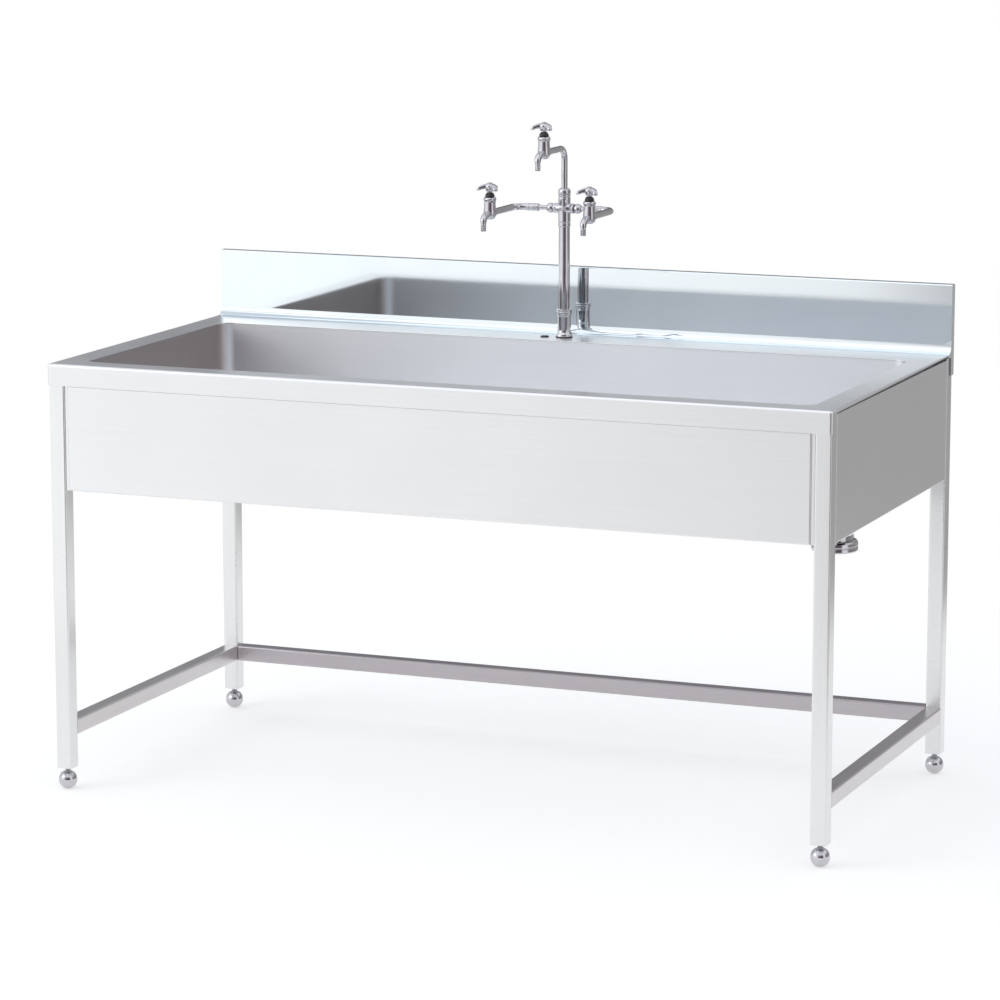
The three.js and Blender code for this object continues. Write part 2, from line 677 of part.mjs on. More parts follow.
const drainFit = DRAIN_TUBE_RADIUS + FIT_GAP;
const lockNutBottom = lockNutTop - LOCK_NUT_HEIGHT;
addPiece(drain, 'drain_flange', 'polished', makeDrainFlange());
addPiece(drain, 'drain_strainer', 'polished', makeStrainer());
addPiece(drain, 'drain_gasket', 'rubber',
  ring(drainFit, GASKET_RADIUS, gasketTop - GASKET_THICKNESS, gasketTop, FINE_SIDES));
addPiece(drain, 'drain_lock_nut', 'zinc',
  makeLockNut(LOCK_NUT_RADIUS, drainFit, lockNutBottom, lockNutTop));
addPiece(drain, 'drain_cup', 'chrome', makeDrainCup());
const outletNutTop = outletNutBottom + OUTLET_NUT_HEIGHT;
addPiece(drain, 'drain_outlet_nut', 'chrome',
  ring(NECK_RADIUS + FIT_GAP, OUTLET_NUT_RADIUS, outletNutBottom, outletNutTop, FINE_SIDES));

// Tap: heights measured from the deck
const tap = new THREE.Group();
tap.position.set(0, tapY, TOP_HEIGHT);
unit.add(tap);

const washerTop = SEAT_GAP + TAP_WASHER_THICKNESS;
const baseBottom = washerTop + SEAT_GAP;
const baseTop = baseBottom + TAP_BASE_HEIGHT;
const columnBottom = baseBottom + COLUMN_SEAT;
const shankBottom = -TAP_SHANK_LENGTH;
const tapNutTop = -SHEET - SEAT_GAP;

function makeTapBase() {
  const collarBottom = baseTop - TAP_BASE_COLLAR_HEIGHT;
  const footTop = baseBottom + (TAP_BASE_FOOT_RADIUS - TAP_BASE_BODY_RADIUS);
  const profile = [
    [TAP_WATERWAY_RADIUS, shankBottom],
    [TAP_SHANK_RADIUS, shankBottom],
    [TAP_SHANK_RADIUS, baseBottom],
    [TAP_BASE_FOOT_RADIUS, baseBottom],
    [TAP_BASE_FOOT_RADIUS, footTop],
    [TAP_BASE_BODY_RADIUS, footTop + COLUMN_SEAT],
    [TAP_BASE_BODY_RADIUS, collarBottom],
    [TAP_BASE_COLLAR_RADIUS, collarBottom],
    [TAP_BASE_COLLAR_RADIUS, baseTop],
    [COLUMN_RADIUS + FIT_GAP, baseTop],
    [COLUMN_RADIUS + FIT_GAP, columnBottom],
    [TAP_WATERWAY_RADIUS, columnBottom],
  ];
  return turned([...profile, profile[0]], ROUND_SIDES);
}

function makeColumn() {
  const shoulder = CROSS_BOTTOM - SEAT_GAP;
  const spigotTop = CROSS_BOTTOM + SPIGOT_LENGTH;
  const profile = [
    [TAP_WATERWAY_RADIUS, columnBottom + SEAT_GAP],
    [COLUMN_RADIUS, columnBottom + SEAT_GAP],
    [COLUMN_RADIUS, shoulder],
    [SPIGOT_RADIUS, shoulder],
    [SPIGOT_RADIUS, spigotTop],
    [TAP_WATERWAY_RADIUS, spigotTop],
  ];
  return turned([...profile, profile[0]], ROUND_SIDES);
}

// Cross body with two side bosses, bored for the column, the two side arms and the riser
function makeCross() {
  const stemBore = rod(SPIGOT_RADIUS + FIT_GAP, CROSS_BOTTOM - OVERRUN,
    CROSS_BOTTOM + SPIGOT_LENGTH + SEAT_GAP, ROUND_SIDES);
  const riserBore = rod(RISER_RADIUS + FIT_GAP, CROSS_BOTTOM, CROSS_TOP + OVERRUN, ROUND_SIDES);
  const boreReach = CROSS_BOSS_REACH + OVERRUN;
  const armBore = rod(NIPPLE_RADIUS + FIT_GAP, -boreReach, boreReach, PIPE_SIDES);
  const bosses = turned([
    [0, -CROSS_BOSS_REACH],
    [CROSS_BOSS_RADIUS, -CROSS_BOSS_REACH],
    [CROSS_RADIUS, 0],
    [CROSS_BOSS_RADIUS, CROSS_BOSS_REACH],
    [0, CROSS_BOSS_REACH],
  ], ROUND_SIDES);
  return joinAndCut(
    [
      rod(CROSS_RADIUS, CROSS_BOTTOM, CROSS_TOP, ROUND_SIDES),
      bosses.rotateY(Math.PI / 2).translate(0, 0, CROSS_AXIS),
    ],
    [stemBore, riserBore, armBore.rotateY(Math.PI / 2).translate(0, 0, CROSS_AXIS)],
  );
}

// Ball-shaped nut on the nipple of a side arm
function makeUnionNut(side) {
  const bore = NIPPLE_RADIUS + FIT_GAP;
  const half = UNION_NUT_WIDTH / 2;
  const rimAngle = Math.acos(half / UNION_NUT_RADIUS);
  const ball = arc(0, 0, UNION_NUT_RADIUS, rimAngle - Math.PI / 2, Math.PI / 2 - rimAngle, ARC_STEPS);
  const flanks = [[bore, -half], ...ball, [bore, half]];
  const nut = turned([...flanks, flanks[0]], ROUND_SIDES).rotateY(Math.PI / 2);
  return nut.translate(side * (CROSS_BOSS_REACH + SEAT_GAP + half), 0, CROSS_AXIS);
}

// Side arm: a thin nipple, a sleeve and the swept pipe that carries the tap
function makeSideArm(side) {
  const nippleStart = RISER_RADIUS + FIT_GAP;
  const sleeveEnd = SLEEVE_START + SLEEVE_LENGTH;
  const straight = turned([
    [0, nippleStart],
    [NIPPLE_RADIUS, nippleStart],
    [NIPPLE_RADIUS, SLEEVE_START],
    [SLEEVE_RADIUS, SLEEVE_START],
    [SLEEVE_RADIUS, sleeveEnd],
    [0, sleeveEnd],
  ], PIPE_SIDES);
  const socketY = -SIDE_TAP_FORWARD + INLET_BOSS_REACH - INLET_SOCKET_DEPTH + SEAT_GAP;
  const pipe = bentPipe(
    new THREE.Vector3(side * (SLEEVE_START + SLEEVE_LENGTH / 2), 0, 0),
    new THREE.Vector3(side * ARM_REACH, 0, 0),
    new THREE.Vector3(side * ARM_REACH, socketY, 0),
    ARM_BEND_RADIUS, ARM_RADIUS,
  );
  return joinAndCut([straight.rotateY(side * Math.PI / 2), pipe], []).translate(0, 0, CROSS_AXIS);
}

function makeRiser() {
  const socketY = -UPPER_TAP_FORWARD + INLET_BOSS_REACH - INLET_SOCKET_DEPTH + SEAT_GAP;
  return bentPipe(
    new THREE.Vector3(0, 0, CROSS_TOP - RISER_SOCKET_DEPTH),
    new THREE.Vector3(0, 0, RISER_TOP),
    new THREE.Vector3(0, socketY, RISER_TOP),
    RISER_BEND_RADIUS, RISER_RADIUS,
  );
}

// Tap valve: barrel, inlet boss, spout and the boss that takes the nozzle. Its inlet faces the back.
function makeValveBody(inletRadius) {
  const quarter = Math.PI / 2;
  const barrel = turned([
    [0, -VALVE_BOTTOM],
    [VALVE_WAIST_RADIUS / 2, -VALVE_BOTTOM],
    [VALVE_WAIST_RADIUS, -VALVE_BOTTOM / 2],
    [VALVE_WAIST_RADIUS, VALVE_TOP / 2],
    [VALVE_RADIUS, VALVE_TOP - CAP_HEIGHT],
    [VALVE_RADIUS, VALVE_TOP],
    [0, VALVE_TOP],
  ], ROUND_SIDES);
  const inlet = rod(INLET_BOSS_RADIUS, 0, INLET_BOSS_REACH, ROUND_SIDES).rotateX(-quarter);
  const drop = (SPOUT_BOSS_TOP + SPOUT_BOSS_BOTTOM) / 2;
  const slope = Math.atan2(-drop, SPOUT_FORWARD);
  const spoutLength = Math.hypot(drop, SPOUT_FORWARD);
  const spout = rod(SPOUT_RADIUS, 0, spoutLength, PIPE_SIDES).rotateX(quarter + slope);
  const boss = rod(SPOUT_BOSS_RADIUS, SPOUT_BOSS_BOTTOM, SPOUT_BOSS_TOP, PIPE_SIDES);
  const socketFace = INLET_BOSS_REACH - INLET_SOCKET_DEPTH;
  const socket = rod(inletRadius + FIT_GAP, socketFace, INLET_BOSS_REACH + OVERRUN, PIPE_SIDES);
  const inletWay = rod(SPINDLE_RADIUS, 0, INLET_BOSS_REACH, PIPE_SIDES).rotateX(-quarter);
  const outletWay = rod(SPOUT_BORE_RADIUS, 0, spoutLength, PIPE_SIDES).rotateX(quarter + slope);
  const spindleWay = rod(SPINDLE_RADIUS + FIT_GAP, -SPINDLE_RADIUS, VALVE_TOP + OVERRUN, ROUND_SIDES);
  const nozzleTop = SPOUT_BOSS_BOTTOM + NOZZLE_SPIGOT_LENGTH + SEAT_GAP;
  const nozzleWay = rod(NOZZLE_SPIGOT_RADIUS + FIT_GAP, SPOUT_BOSS_BOTTOM - OVERRUN, nozzleTop, PIPE_SIDES);
  boss.translate(0, -SPOUT_FORWARD, 0);
  nozzleWay.translate(0, -SPOUT_FORWARD, 0);
  socket.rotateX(-quarter);
  return joinAndCut([barrel, inlet, spout, boss], [socket, inletWay, outletWay, spindleWay, nozzleWay]);
}

function makeNozzle() {
  const shoulder = SPOUT_BOSS_BOTTOM - SEAT_GAP;
  const tip = shoulder - NOZZLE_LENGTH;
  const profile = [
    [SPOUT_BORE_RADIUS, tip],
    [NOZZLE_RADIUS, tip],
    [NOZZLE_RADIUS, tip + NOZZLE_RADIUS / 2],
    [NOZZLE_WAIST_RADIUS, tip + NOZZLE_RADIUS],
    [NOZZLE_WAIST_RADIUS, shoulder - NOZZLE_RADIUS],
    [NOZZLE_RADIUS, shoulder - NOZZLE_RADIUS / 2],
    [NOZZLE_RADIUS, shoulder],
    [NOZZLE_SPIGOT_RADIUS, shoulder],
    [NOZZLE_SPIGOT_RADIUS, shoulder + NOZZLE_SPIGOT_LENGTH],
    [SPOUT_BORE_RADIUS, shoulder + NOZZLE_SPIGOT_LENGTH],
  ];
  return turned([...profile, profile[0]], PIPE_SIDES).translate(0, -SPOUT_FORWARD, 0);
}

const capBottom = VALVE_TOP + SEAT_GAP;
const capTop = capBottom + CAP_HEIGHT;
const handleBottom = capTop + HANDLE_LIFT;
const handleTop = handleBottom + HANDLE_HEIGHT;

function makePackingCap() {
  const bore = SPINDLE_RADIUS + FIT_GAP;
  const profile = [
    [bore, capBottom],
    [CAP_RADIUS, capBottom],
    [CAP_RADIUS, capBottom + CAP_BAND_HEIGHT],
    [CAP_SHOULDER_RADIUS, capBottom + CAP_SHOULDER_HEIGHT],
    [CAP_TOP_RADIUS, capTop],
    [bore, capTop],
  ];
  return turned([...profile, profile[0]], ROUND_SIDES);
}

function makeSpindle() {
  const headBottom = handleTop + SEAT_GAP;
  const headTop = headBottom + SPINDLE_HEAD_HEIGHT;
  return turned([
    [0, VALVE_TOP - SPINDLE_DEPTH],
    [SPINDLE_RADIUS, VALVE_TOP - SPINDLE_DEPTH],
    [SPINDLE_RADIUS, headBottom],
    [SPINDLE_HEAD_RADIUS, headBottom],
    [SPINDLE_HEAD_RADIUS, headTop],
    [0, headTop],
  ], ROUND_SIDES);
}

// Handle: a hub with three drooping arms
function makeHandle() {
  const armTop = handleTop - SEAT_GAP;
  const armUnder = armTop - HANDLE_ARM_THICKNESS;
  const bend = (HANDLE_HUB_RADIUS + HANDLE_REACH) / 2 - HANDLE_ARM_THICKNESS / 2;
  const hub = rod(HANDLE_HUB_RADIUS, handleBottom, handleTop, ROUND_SIDES);
  const bore = rod(SPINDLE_RADIUS + FIT_GAP, handleBottom - OVERRUN, handleTop + OVERRUN, ROUND_SIDES);
  const side = outline([
    [SPINDLE_RADIUS, armUnder],
    [bend, armUnder - HANDLE_BEND_DROP],
    [HANDLE_REACH - HANDLE_TIP_ROUND, armUnder - HANDLE_DROOP],
    [HANDLE_REACH, armUnder - HANDLE_DROOP + HANDLE_ARM_THICKNESS / 2],
    [HANDLE_REACH - HANDLE_TIP_ROUND, armTop - HANDLE_DROOP],
    [bend, armTop - HANDLE_BEND_DROP],
    [SPINDLE_RADIUS, armTop],
  ]);
  const upright = new THREE.Matrix4().makeBasis(axisX, axisZ, axisY.clone().negate());
  const arms = HANDLE_ARM_ANGLES.map((angle) => {
    const arm = prism(side, -HANDLE_ARM_WIDTH / 2, HANDLE_ARM_WIDTH / 2).applyMatrix4(upright);
    return arm.rotateZ(THREE.MathUtils.degToRad(angle));
  });
  return joinAndCut([hub, ...arms], [bore]);
}

function addValve(place, position, inletRadius) {
  const valve = new THREE.Group();
  valve.position.copy(position);
  tap.add(valve);
  addPiece(valve, `${place}_tap_body`, 'chrome', makeValveBody(inletRadius));
  addPiece(valve, `${place}_nozzle`, 'chrome', makeNozzle());
  addPiece(valve, `${place}_packing_cap`, 'black', makePackingCap());
  addPiece(valve, `${place}_spindle`, 'chrome', makeSpindle());
  addPiece(valve, `${place}_handle`, 'chrome', makeHandle());
}

addPiece(tap, 'tap_base', 'chrome', makeTapBase());
addPiece(tap, 'tap_washer', 'rubber',
  ring(TAP_SHANK_RADIUS + FIT_GAP, TAP_BASE_FOOT_RADIUS, SEAT_GAP, washerTop, ROUND_SIDES));
addPiece(tap, 'tap_lock_nut', 'zinc',
  makeLockNut(TAP_LOCK_NUT_RADIUS, TAP_SHANK_RADIUS + FIT_GAP, tapNutTop - TAP_LOCK_NUT_HEIGHT, tapNutTop));
addPiece(tap, 'tap_column', 'chrome', makeColumn());
addPiece(tap, 'tap_cross', 'chrome', makeCross());
addPiece(tap, 'riser', 'chrome', makeRiser());
const glandBottom = CROSS_TOP + SEAT_GAP;
addPiece(tap, 'riser_gland_nut', 'chrome',
  ring(RISER_RADIUS + FIT_GAP, GLAND_RADIUS, glandBottom, glandBottom + GLAND_HEIGHT, ROUND_SIDES));
for (const [place, side] of [['left', -1], ['right', 1]]) {
  addPiece(tap, `${place}_union_nut`, 'chrome', makeUnionNut(side));
  addPiece(tap, `${place}_arm`, 'chrome', makeSideArm(side));
  addValve(place, new THREE.Vector3(side * ARM_REACH, -SIDE_TAP_FORWARD, CROSS_AXIS), ARM_RADIUS);
}
addValve('upper', new THREE.Vector3(0, -UPPER_TAP_FORWARD, RISER_TOP), RISER_RADIUS);

// Plug in the spare hole of the deck
function makeDeckPlug() {
  return turned([
    [0, -PLUG_STEM_LENGTH],
    [PLUG_STEM_RADIUS, -PLUG_STEM_LENGTH],
    [PLUG_STEM_RADIUS, SEAT_GAP],
    [PLUG_HEAD_RADIUS, SEAT_GAP],
    [PLUG_HEAD_RADIUS, SEAT_GAP + PLUG_HEAD_HEIGHT / 2],
    [PLUG_STEM_RADIUS, SEAT_GAP + PLUG_HEAD_HEIGHT],
    [0, SEAT_GAP + PLUG_HEAD_HEIGHT],
  ], ROUND_SIDES).translate(-PLUG_LEFT, -PLUG_FORWARD, 0);
}
addPiece(tap, 'deck_hole_plug', 'black', makeDeckPlug());

export default unit;
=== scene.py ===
# %% [markdown]
# # Laboratory sink unit
#
# A long stainless sink with a raised back stands on a square-tube stand with ball feet. A chrome tap with
# three valves rises from its rear deck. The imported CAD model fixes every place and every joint. This script
# gives each piece its finer shape and its finish, then lights it as in a plain white studio.

# %% Load the frame
import json
import math

import bpy
import numpy as np
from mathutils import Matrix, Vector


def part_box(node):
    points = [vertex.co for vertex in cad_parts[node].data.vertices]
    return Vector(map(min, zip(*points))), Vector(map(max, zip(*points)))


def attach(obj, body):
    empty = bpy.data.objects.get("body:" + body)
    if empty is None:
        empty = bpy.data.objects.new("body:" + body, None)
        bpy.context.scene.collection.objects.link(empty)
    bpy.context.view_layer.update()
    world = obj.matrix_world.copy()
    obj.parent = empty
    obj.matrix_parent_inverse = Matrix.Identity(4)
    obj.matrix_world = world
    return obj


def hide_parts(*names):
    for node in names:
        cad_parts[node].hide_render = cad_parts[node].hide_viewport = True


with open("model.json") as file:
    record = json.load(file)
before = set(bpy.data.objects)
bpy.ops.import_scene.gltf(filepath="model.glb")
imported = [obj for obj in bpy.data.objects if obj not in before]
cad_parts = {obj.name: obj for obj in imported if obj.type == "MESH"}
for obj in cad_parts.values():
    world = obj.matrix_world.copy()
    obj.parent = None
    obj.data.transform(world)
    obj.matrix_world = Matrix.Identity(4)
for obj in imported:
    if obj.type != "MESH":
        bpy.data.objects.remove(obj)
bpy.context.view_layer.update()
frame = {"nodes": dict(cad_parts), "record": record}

scene = bpy.context.scene
record = frame["record"]
body_of_node = {n: body for body, nodes in record["behaviour"]["bodies"].items() for n in nodes}

# %% [markdown]
# ## Shapes from loops
#
# Nearly every piece here is a stack of loops. A ball foot is a stack of circles, a leg is a stack of rounded
# squares, a bent pipe is a stack of circles that follow a path. One function joins point j of each loop to
# point j of the next, so the rest of the work is to say where the loops lie. Primitives cut with Booleans
# could give the same forms, but loops keep the faces even and put an edge just where it is wanted. All
# lengths are millimetres until a piece is made.

# %% Loops and the skin over them
MM = 0.001


def loft(loops, closed=False):
    """Skin over a stack of loops, k by n by 3. Point j of loop i joins point j of loop i + 1, and the last
    point of a loop joins its first. A closed stack joins its last loop to its first; an open one gets caps.
    The triple products of the faces' corners add up to six times the volume. Where that is below zero the
    faces point inwards, and they are turned round."""
    k, n, _ = loops.shape
    i = np.arange(k if closed else k - 1)[:, None]
    j = np.arange(n)[None, :]
    here, there = i * n, ((i + 1) % k) * n
    after = (j + 1) % n
    quads = np.stack([here + j, here + after, there + after, there + j], -1).reshape(-1, 4)
    points = loops.reshape(-1, 3)
    caps = [] if closed else [np.arange(n)[::-1], np.arange((k - 1) * n, k * n)]
    a, b, c, d = (points[quads[:, m]] for m in range(4))
    volume = np.sum(a * np.cross(b, c)) + np.sum(a * np.cross(c, d))
    for cap in caps:
        p = points[cap]
        volume += np.sum(p[0] * np.cross(p[1:-1], p[2:]))
    faces = quads.tolist() + [cap.tolist() for cap in caps]
    return points, faces if volume > 0 else [face[::-1] for face in faces]


def circle(sides):
    """Points of a unit circle: cosine and sine of evenly spaced angles."""
    angle = np.linspace(0, 2 * np.pi, sides, endpoint=False)
    return np.stack([np.cos(angle), np.sin(angle)], -1)


def rounded_rectangle(low, high, radii, steps):
    """Points round a rectangle, counter-clockwise from the front right corner. Each corner is a quarter
    circle of its own radius, and straight runs join the corners."""
    turns = np.linspace(0, np.pi / 2, steps + 1)
    signs = [(1, -1), (1, 1), (-1, 1), (-1, -1)]
    low, high = np.array(low, float), np.array(high, float)
    runs = []
    for quarter, (sign, radius) in enumerate(zip(signs, radii)):
        corner = np.where(np.array(sign) > 0, high, low) - np.array(sign) * radius
        angle = turns + (quarter - 1) * np.pi / 2
        runs.append(corner + radius * np.stack([np.cos(angle), np.sin(angle)], -1))
    return np.concatenate(runs)


def at_height(loop, z):
    """A flat loop lifted to a height, which may differ from point to point."""
    return np.column_stack([loop, np.broadcast_to(z, len(loop))])


print("loops ready")

# %% Turned, swept and moved parts
UPRIGHT = np.eye(3)
ALONG_X = np.array([[0, 0, 1], [1, 0, 0], [0, 1, 0]], float)
ALONG_Y = np.array([[0, 1, 0], [0, 0, 1], [1, 0, 0]], float)


def softened(points, radius, steps=4):
    """A profile with soft corners: each inner corner becomes a quadratic curve that starts and ends at the
    given distance from it, or at less than half a side where the side is short."""
    p = np.array(points, float)
    t = np.linspace(0, 1, steps + 1)[:, None]
    runs = [p[:1]]
    for a, b, c in zip(p[:-2], p[1:-1], p[2:]):
        to_a, to_c = a - b, c - b
        reach_a, reach_c = np.linalg.norm(to_a), np.linalg.norm(to_c)
        cut = min(radius, 0.45 * reach_a, 0.45 * reach_c)
        start, end = b + to_a / reach_a * cut, b + to_c / reach_c * cut
        runs.append((1 - t) ** 2 * start + 2 * t * (1 - t) * b + t * t * end)
    return np.concatenate(runs + [p[-1:]])


def turned(profile, sides=48, hollow=False):
    """A profile of radius and height turned about Z: radius times the unit circle, at each height. A hollow
    one is listed up the outside and down the inside."""
    profile = np.array(profile, float)
    ring = circle(sides)
    height = np.broadcast_to(profile[:, 1, None], (len(profile), sides))
    loops = np.stack([profile[:, :1] * ring[:, 0], profile[:, :1] * ring[:, 1], height], -1)
    return loft(loops, closed=hollow)


def threaded(radius, pitch, depth, bottom, top, sides=32, rows=8):
    """A screw thread: the radius falls by the depth and comes back once per pitch, and the pattern climbs by
    one pitch in a turn, so the height is measured in turns less the share of the turn already made."""
    height = np.linspace(bottom, top, int((top - bottom) / pitch * rows) + 1)[:, None]
    share = np.arange(sides)[None, :] / sides
    phase = (height / pitch - share) % 1
    r = radius - depth * np.abs(2 * phase - 1)
    ring = circle(sides)
    loops = np.stack([r * ring[:, 0], r * ring[:, 1], np.broadcast_to(height, r.shape)], -1)
    return loft(loops)


def bend(start, corner, end, radius, steps=18):
    """A path of two straight runs that meet at a square corner, with a quarter circle in its place."""
    start, corner, end = (np.array(p, float) for p in (start, corner, end))
    a, b = ((p - corner) / np.linalg.norm(p - corner) for p in (start, end))
    t = np.linspace(0, np.pi / 2, steps + 1)[:, None]
    curve = corner + radius * (a + b) - radius * (b * np.cos(t) + a * np.sin(t))
    return np.concatenate([[start], curve, [end]])


def piped(path, radius, across, sides=32):
    """A circle carried along a flat path, square to it. The path lies in a plane, and across is square to
    that plane."""
    path = np.array(path, float)
    radius = np.broadcast_to(np.array(radius, float), len(path))[:, None, None]
    forward = np.gradient(path, axis=0)
    forward /= np.linalg.norm(forward, axis=1)[:, None]
    across = np.array(across, float)
    inward = np.cross(across, forward)
    ring = circle(sides)
    loops = path[:, None] + radius * (ring[None, :, :1] * inward[:, None] + ring[None, :, 1:] * across)
    return loft(loops)


def moved(part, offset=(0, 0, 0), turn=UPRIGHT):
    """A part turned by a matrix and then shifted."""
    points, faces = part
    return points @ np.array(turn).T + np.array(offset, float), faces


print("turning, threading and sweeping ready")

# %% [markdown]
# ## Finishes
#
# Three effects are shared by all the metals and are kept in groups. Hairlines are noise that is stretched a
# long way in one direction, as a brushing belt leaves it. Clouds are slow noise for the uneven wipe of a
# cleaned surface. Waves are very slow noise for sheet metal that isn't quite flat. Image textures could do
# this too, but noise on the object's own coordinates needs no unwrapping and has no seams. Each group gives
# only values and normals; the shader itself stays in the material.

# %% Node helpers
def add(tree, kind, inputs=None, **settings):
    """One node with its settings and its inputs, where an input is a value or a socket to link from."""
    made = tree.nodes.new("ShaderNode" + kind)
    for key, value in settings.items():
        setattr(made, key, value)
    for key, value in (inputs or {}).items():
        if isinstance(value, bpy.types.NodeSocket):
            tree.links.new(value, made.inputs[key])
        else:
            made.inputs[key].default_value = value
    return made


def new_group(name, inputs, outputs):
    """An empty group with named sockets, and its two ends."""
    tree = bpy.data.node_groups.new(name, "ShaderNodeTree")
    for label, kind in inputs:
        tree.interface.new_socket(name=label, in_out="INPUT", socket_type="NodeSocket" + kind)
    for label, kind in outputs:
        tree.interface.new_socket(name=label, in_out="OUTPUT", socket_type="NodeSocket" + kind)
    return tree, tree.nodes.new("NodeGroupInput").outputs, tree.nodes.new("NodeGroupOutput").inputs


# %% Shared effects
hairlines, taken, given = new_group(
    "Hairlines", [("Vector", "Vector"), ("Stretch", "Vector"), ("Depth", "Float")],
    [("Tone", "Float"), ("Normal", "Vector")])
drawn = add(hairlines, "VectorMath", {0: taken["Vector"], 1: taken["Stretch"]}, operation="MULTIPLY")
lines = add(hairlines, "TexNoise", {"Vector": drawn.outputs[0], "Scale": 1.0, "Detail": 5.0,
                                    "Roughness": 0.65})
ridge = add(hairlines, "Bump", {"Height": lines.outputs["Fac"], "Distance": taken["Depth"],
                                "Strength": 1.0})
hairlines.links.new(lines.outputs["Fac"], given["Tone"])
hairlines.links.new(ridge.outputs["Normal"], given["Normal"])

clouds, taken, given = new_group(
    "Clouds", [("Vector", "Vector"), ("Scale", "Float")], [("Mask", "Float")])
drift = add(clouds, "TexNoise", {"Vector": taken["Vector"], "Scale": taken["Scale"], "Detail": 4.0})
spread = add(clouds, "MapRange", {"Value": drift.outputs["Fac"], "From Min": 0.3, "From Max": 0.7})
clouds.links.new(spread.outputs["Result"], given["Mask"])

waves, taken, given = new_group(
    "Waves", [("Vector", "Vector"), ("Scale", "Float"), ("Height", "Float"), ("Normal", "Vector")],
    [("Normal", "Vector")])
swell = add(waves, "TexNoise", {"Vector": taken["Vector"], "Scale": taken["Scale"], "Detail": 1.0})
slope = add(waves, "Bump", {"Height": swell.outputs["Fac"], "Distance": taken["Height"],
                            "Normal": taken["Normal"], "Strength": 1.0})
waves.links.new(slope.outputs["Normal"], given["Normal"])
print("effects:", hairlines.name, clouds.name, waves.name)


# %% Material makers
ROUGH_SPREAD = 0.03


def new_material(name):
    """A material, its tree, its shader and the object's own coordinates."""
    material = bpy.data.materials.new(name)
    material.use_nodes = True
    tree = material.node_tree
    return material, tree, tree.nodes["Principled BSDF"], add(tree, "TexCoord").outputs["Object"]


def between(tree, share, low, high):
    """A value that runs from low to high as the share runs from 0 to 1."""
    return add(tree, "MapRange", {"Value": share, "To Min": low, "To Max": high}).outputs["Result"]


def blended(tree, share, first, second):
    """A colour that runs from the first to the second as the share runs from 0 to 1. Each is three numbers
    or a socket."""
    pair = [c if isinstance(c, bpy.types.NodeSocket) else (*c, 1) for c in (first, second)]
    return add(tree, "Mix", {0: share, 6: pair[0], 7: pair[1]}, data_type="RGBA").outputs[2]


def brushed(name, stretch, dark, light, rough, depth=0.000014, wave=0.0006, ends=None):
    """Brushed steel: hairlines set the tone and the fine normal, clouds the roughness, waves the slow buckle.
    Ends, where given, paint shade on the end walls: the distance from the middle along X where the painted
    shade colour starts, the distance where it is full, and that colour."""
    material, tree, shader, place = new_material(name)
    hair = add(tree, "Group", {"Vector": place, "Stretch": stretch, "Depth": depth}, node_tree=hairlines)
    cloud = add(tree, "Group", {"Vector": place, "Scale": 5.0}, node_tree=clouds)
    wavy = add(tree, "Group", {"Vector": place, "Scale": 2.2, "Height": wave,
                               "Normal": hair.outputs["Normal"]}, node_tree=waves)
    colour = blended(tree, hair.outputs["Tone"], dark, light)
    # Painted shade: towards the ends along X the colour turns to a darker one.
    if ends:
        start, full, painted_shade_colour = ends
        along = add(tree, "SeparateXYZ", {0: place}).outputs["X"]
        away = add(tree, "Math", {0: along}, operation="ABSOLUTE").outputs[0]
        reach = add(tree, "MapRange", {"Value": away, "From Min": start, "From Max": full}).outputs["Result"]
        colour = blended(tree, reach, colour, painted_shade_colour)
    roughness = between(tree, cloud.outputs["Mask"], rough - ROUGH_SPREAD, rough + ROUGH_SPREAD)
    tree.links.new(colour, shader.inputs["Base Color"])
    tree.links.new(roughness, shader.inputs["Roughness"])
    tree.links.new(wavy.outputs["Normal"], shader.inputs["Normal"])
    shader.inputs["Metallic"].default_value = 1.0
    return material


def bright(name, dark, light, rough_low, rough_high, scale, wave):
    """Polished metal: clouds set the tone and the roughness, and waves bend the reflections a little."""
    material, tree, shader, place = new_material(name)
    cloud = add(tree, "Group", {"Vector": place, "Scale": scale}, node_tree=clouds)
    wavy = add(tree, "Group", {"Vector": place, "Scale": 3.0, "Height": wave}, node_tree=waves)
    tree.links.new(blended(tree, cloud.outputs["Mask"], dark, light), shader.inputs["Base Color"])
    tree.links.new(between(tree, cloud.outputs["Mask"], rough_low, rough_high), shader.inputs["Roughness"])
    tree.links.new(wavy.outputs["Normal"], shader.inputs["Normal"])
    shader.inputs["Metallic"].default_value = 1.0
    return material


def dull(name, dark, light, rough_low, rough_high, scale, grain, metallic=0.0):
    """Moulded plastic, rubber or plating: fine grain in the tone, the roughness and the normal."""
    material, tree, shader, place = new_material(name)
    cloud = add(tree, "Group", {"Vector": place, "Scale": scale}, node_tree=clouds)
    grainy = add(tree, "Group", {"Vector": place, "Scale": 900.0, "Height": grain}, node_tree=waves)
    tree.links.new(blended(tree, cloud.outputs["Mask"], dark, light), shader.inputs["Base Color"])
    tree.links.new(between(tree, cloud.outputs["Mask"], rough_low, rough_high), shader.inputs["Roughness"])
    tree.links.new(grainy.outputs["Normal"], shader.inputs["Normal"])
    shader.inputs["Metallic"].default_value = metallic
    return material
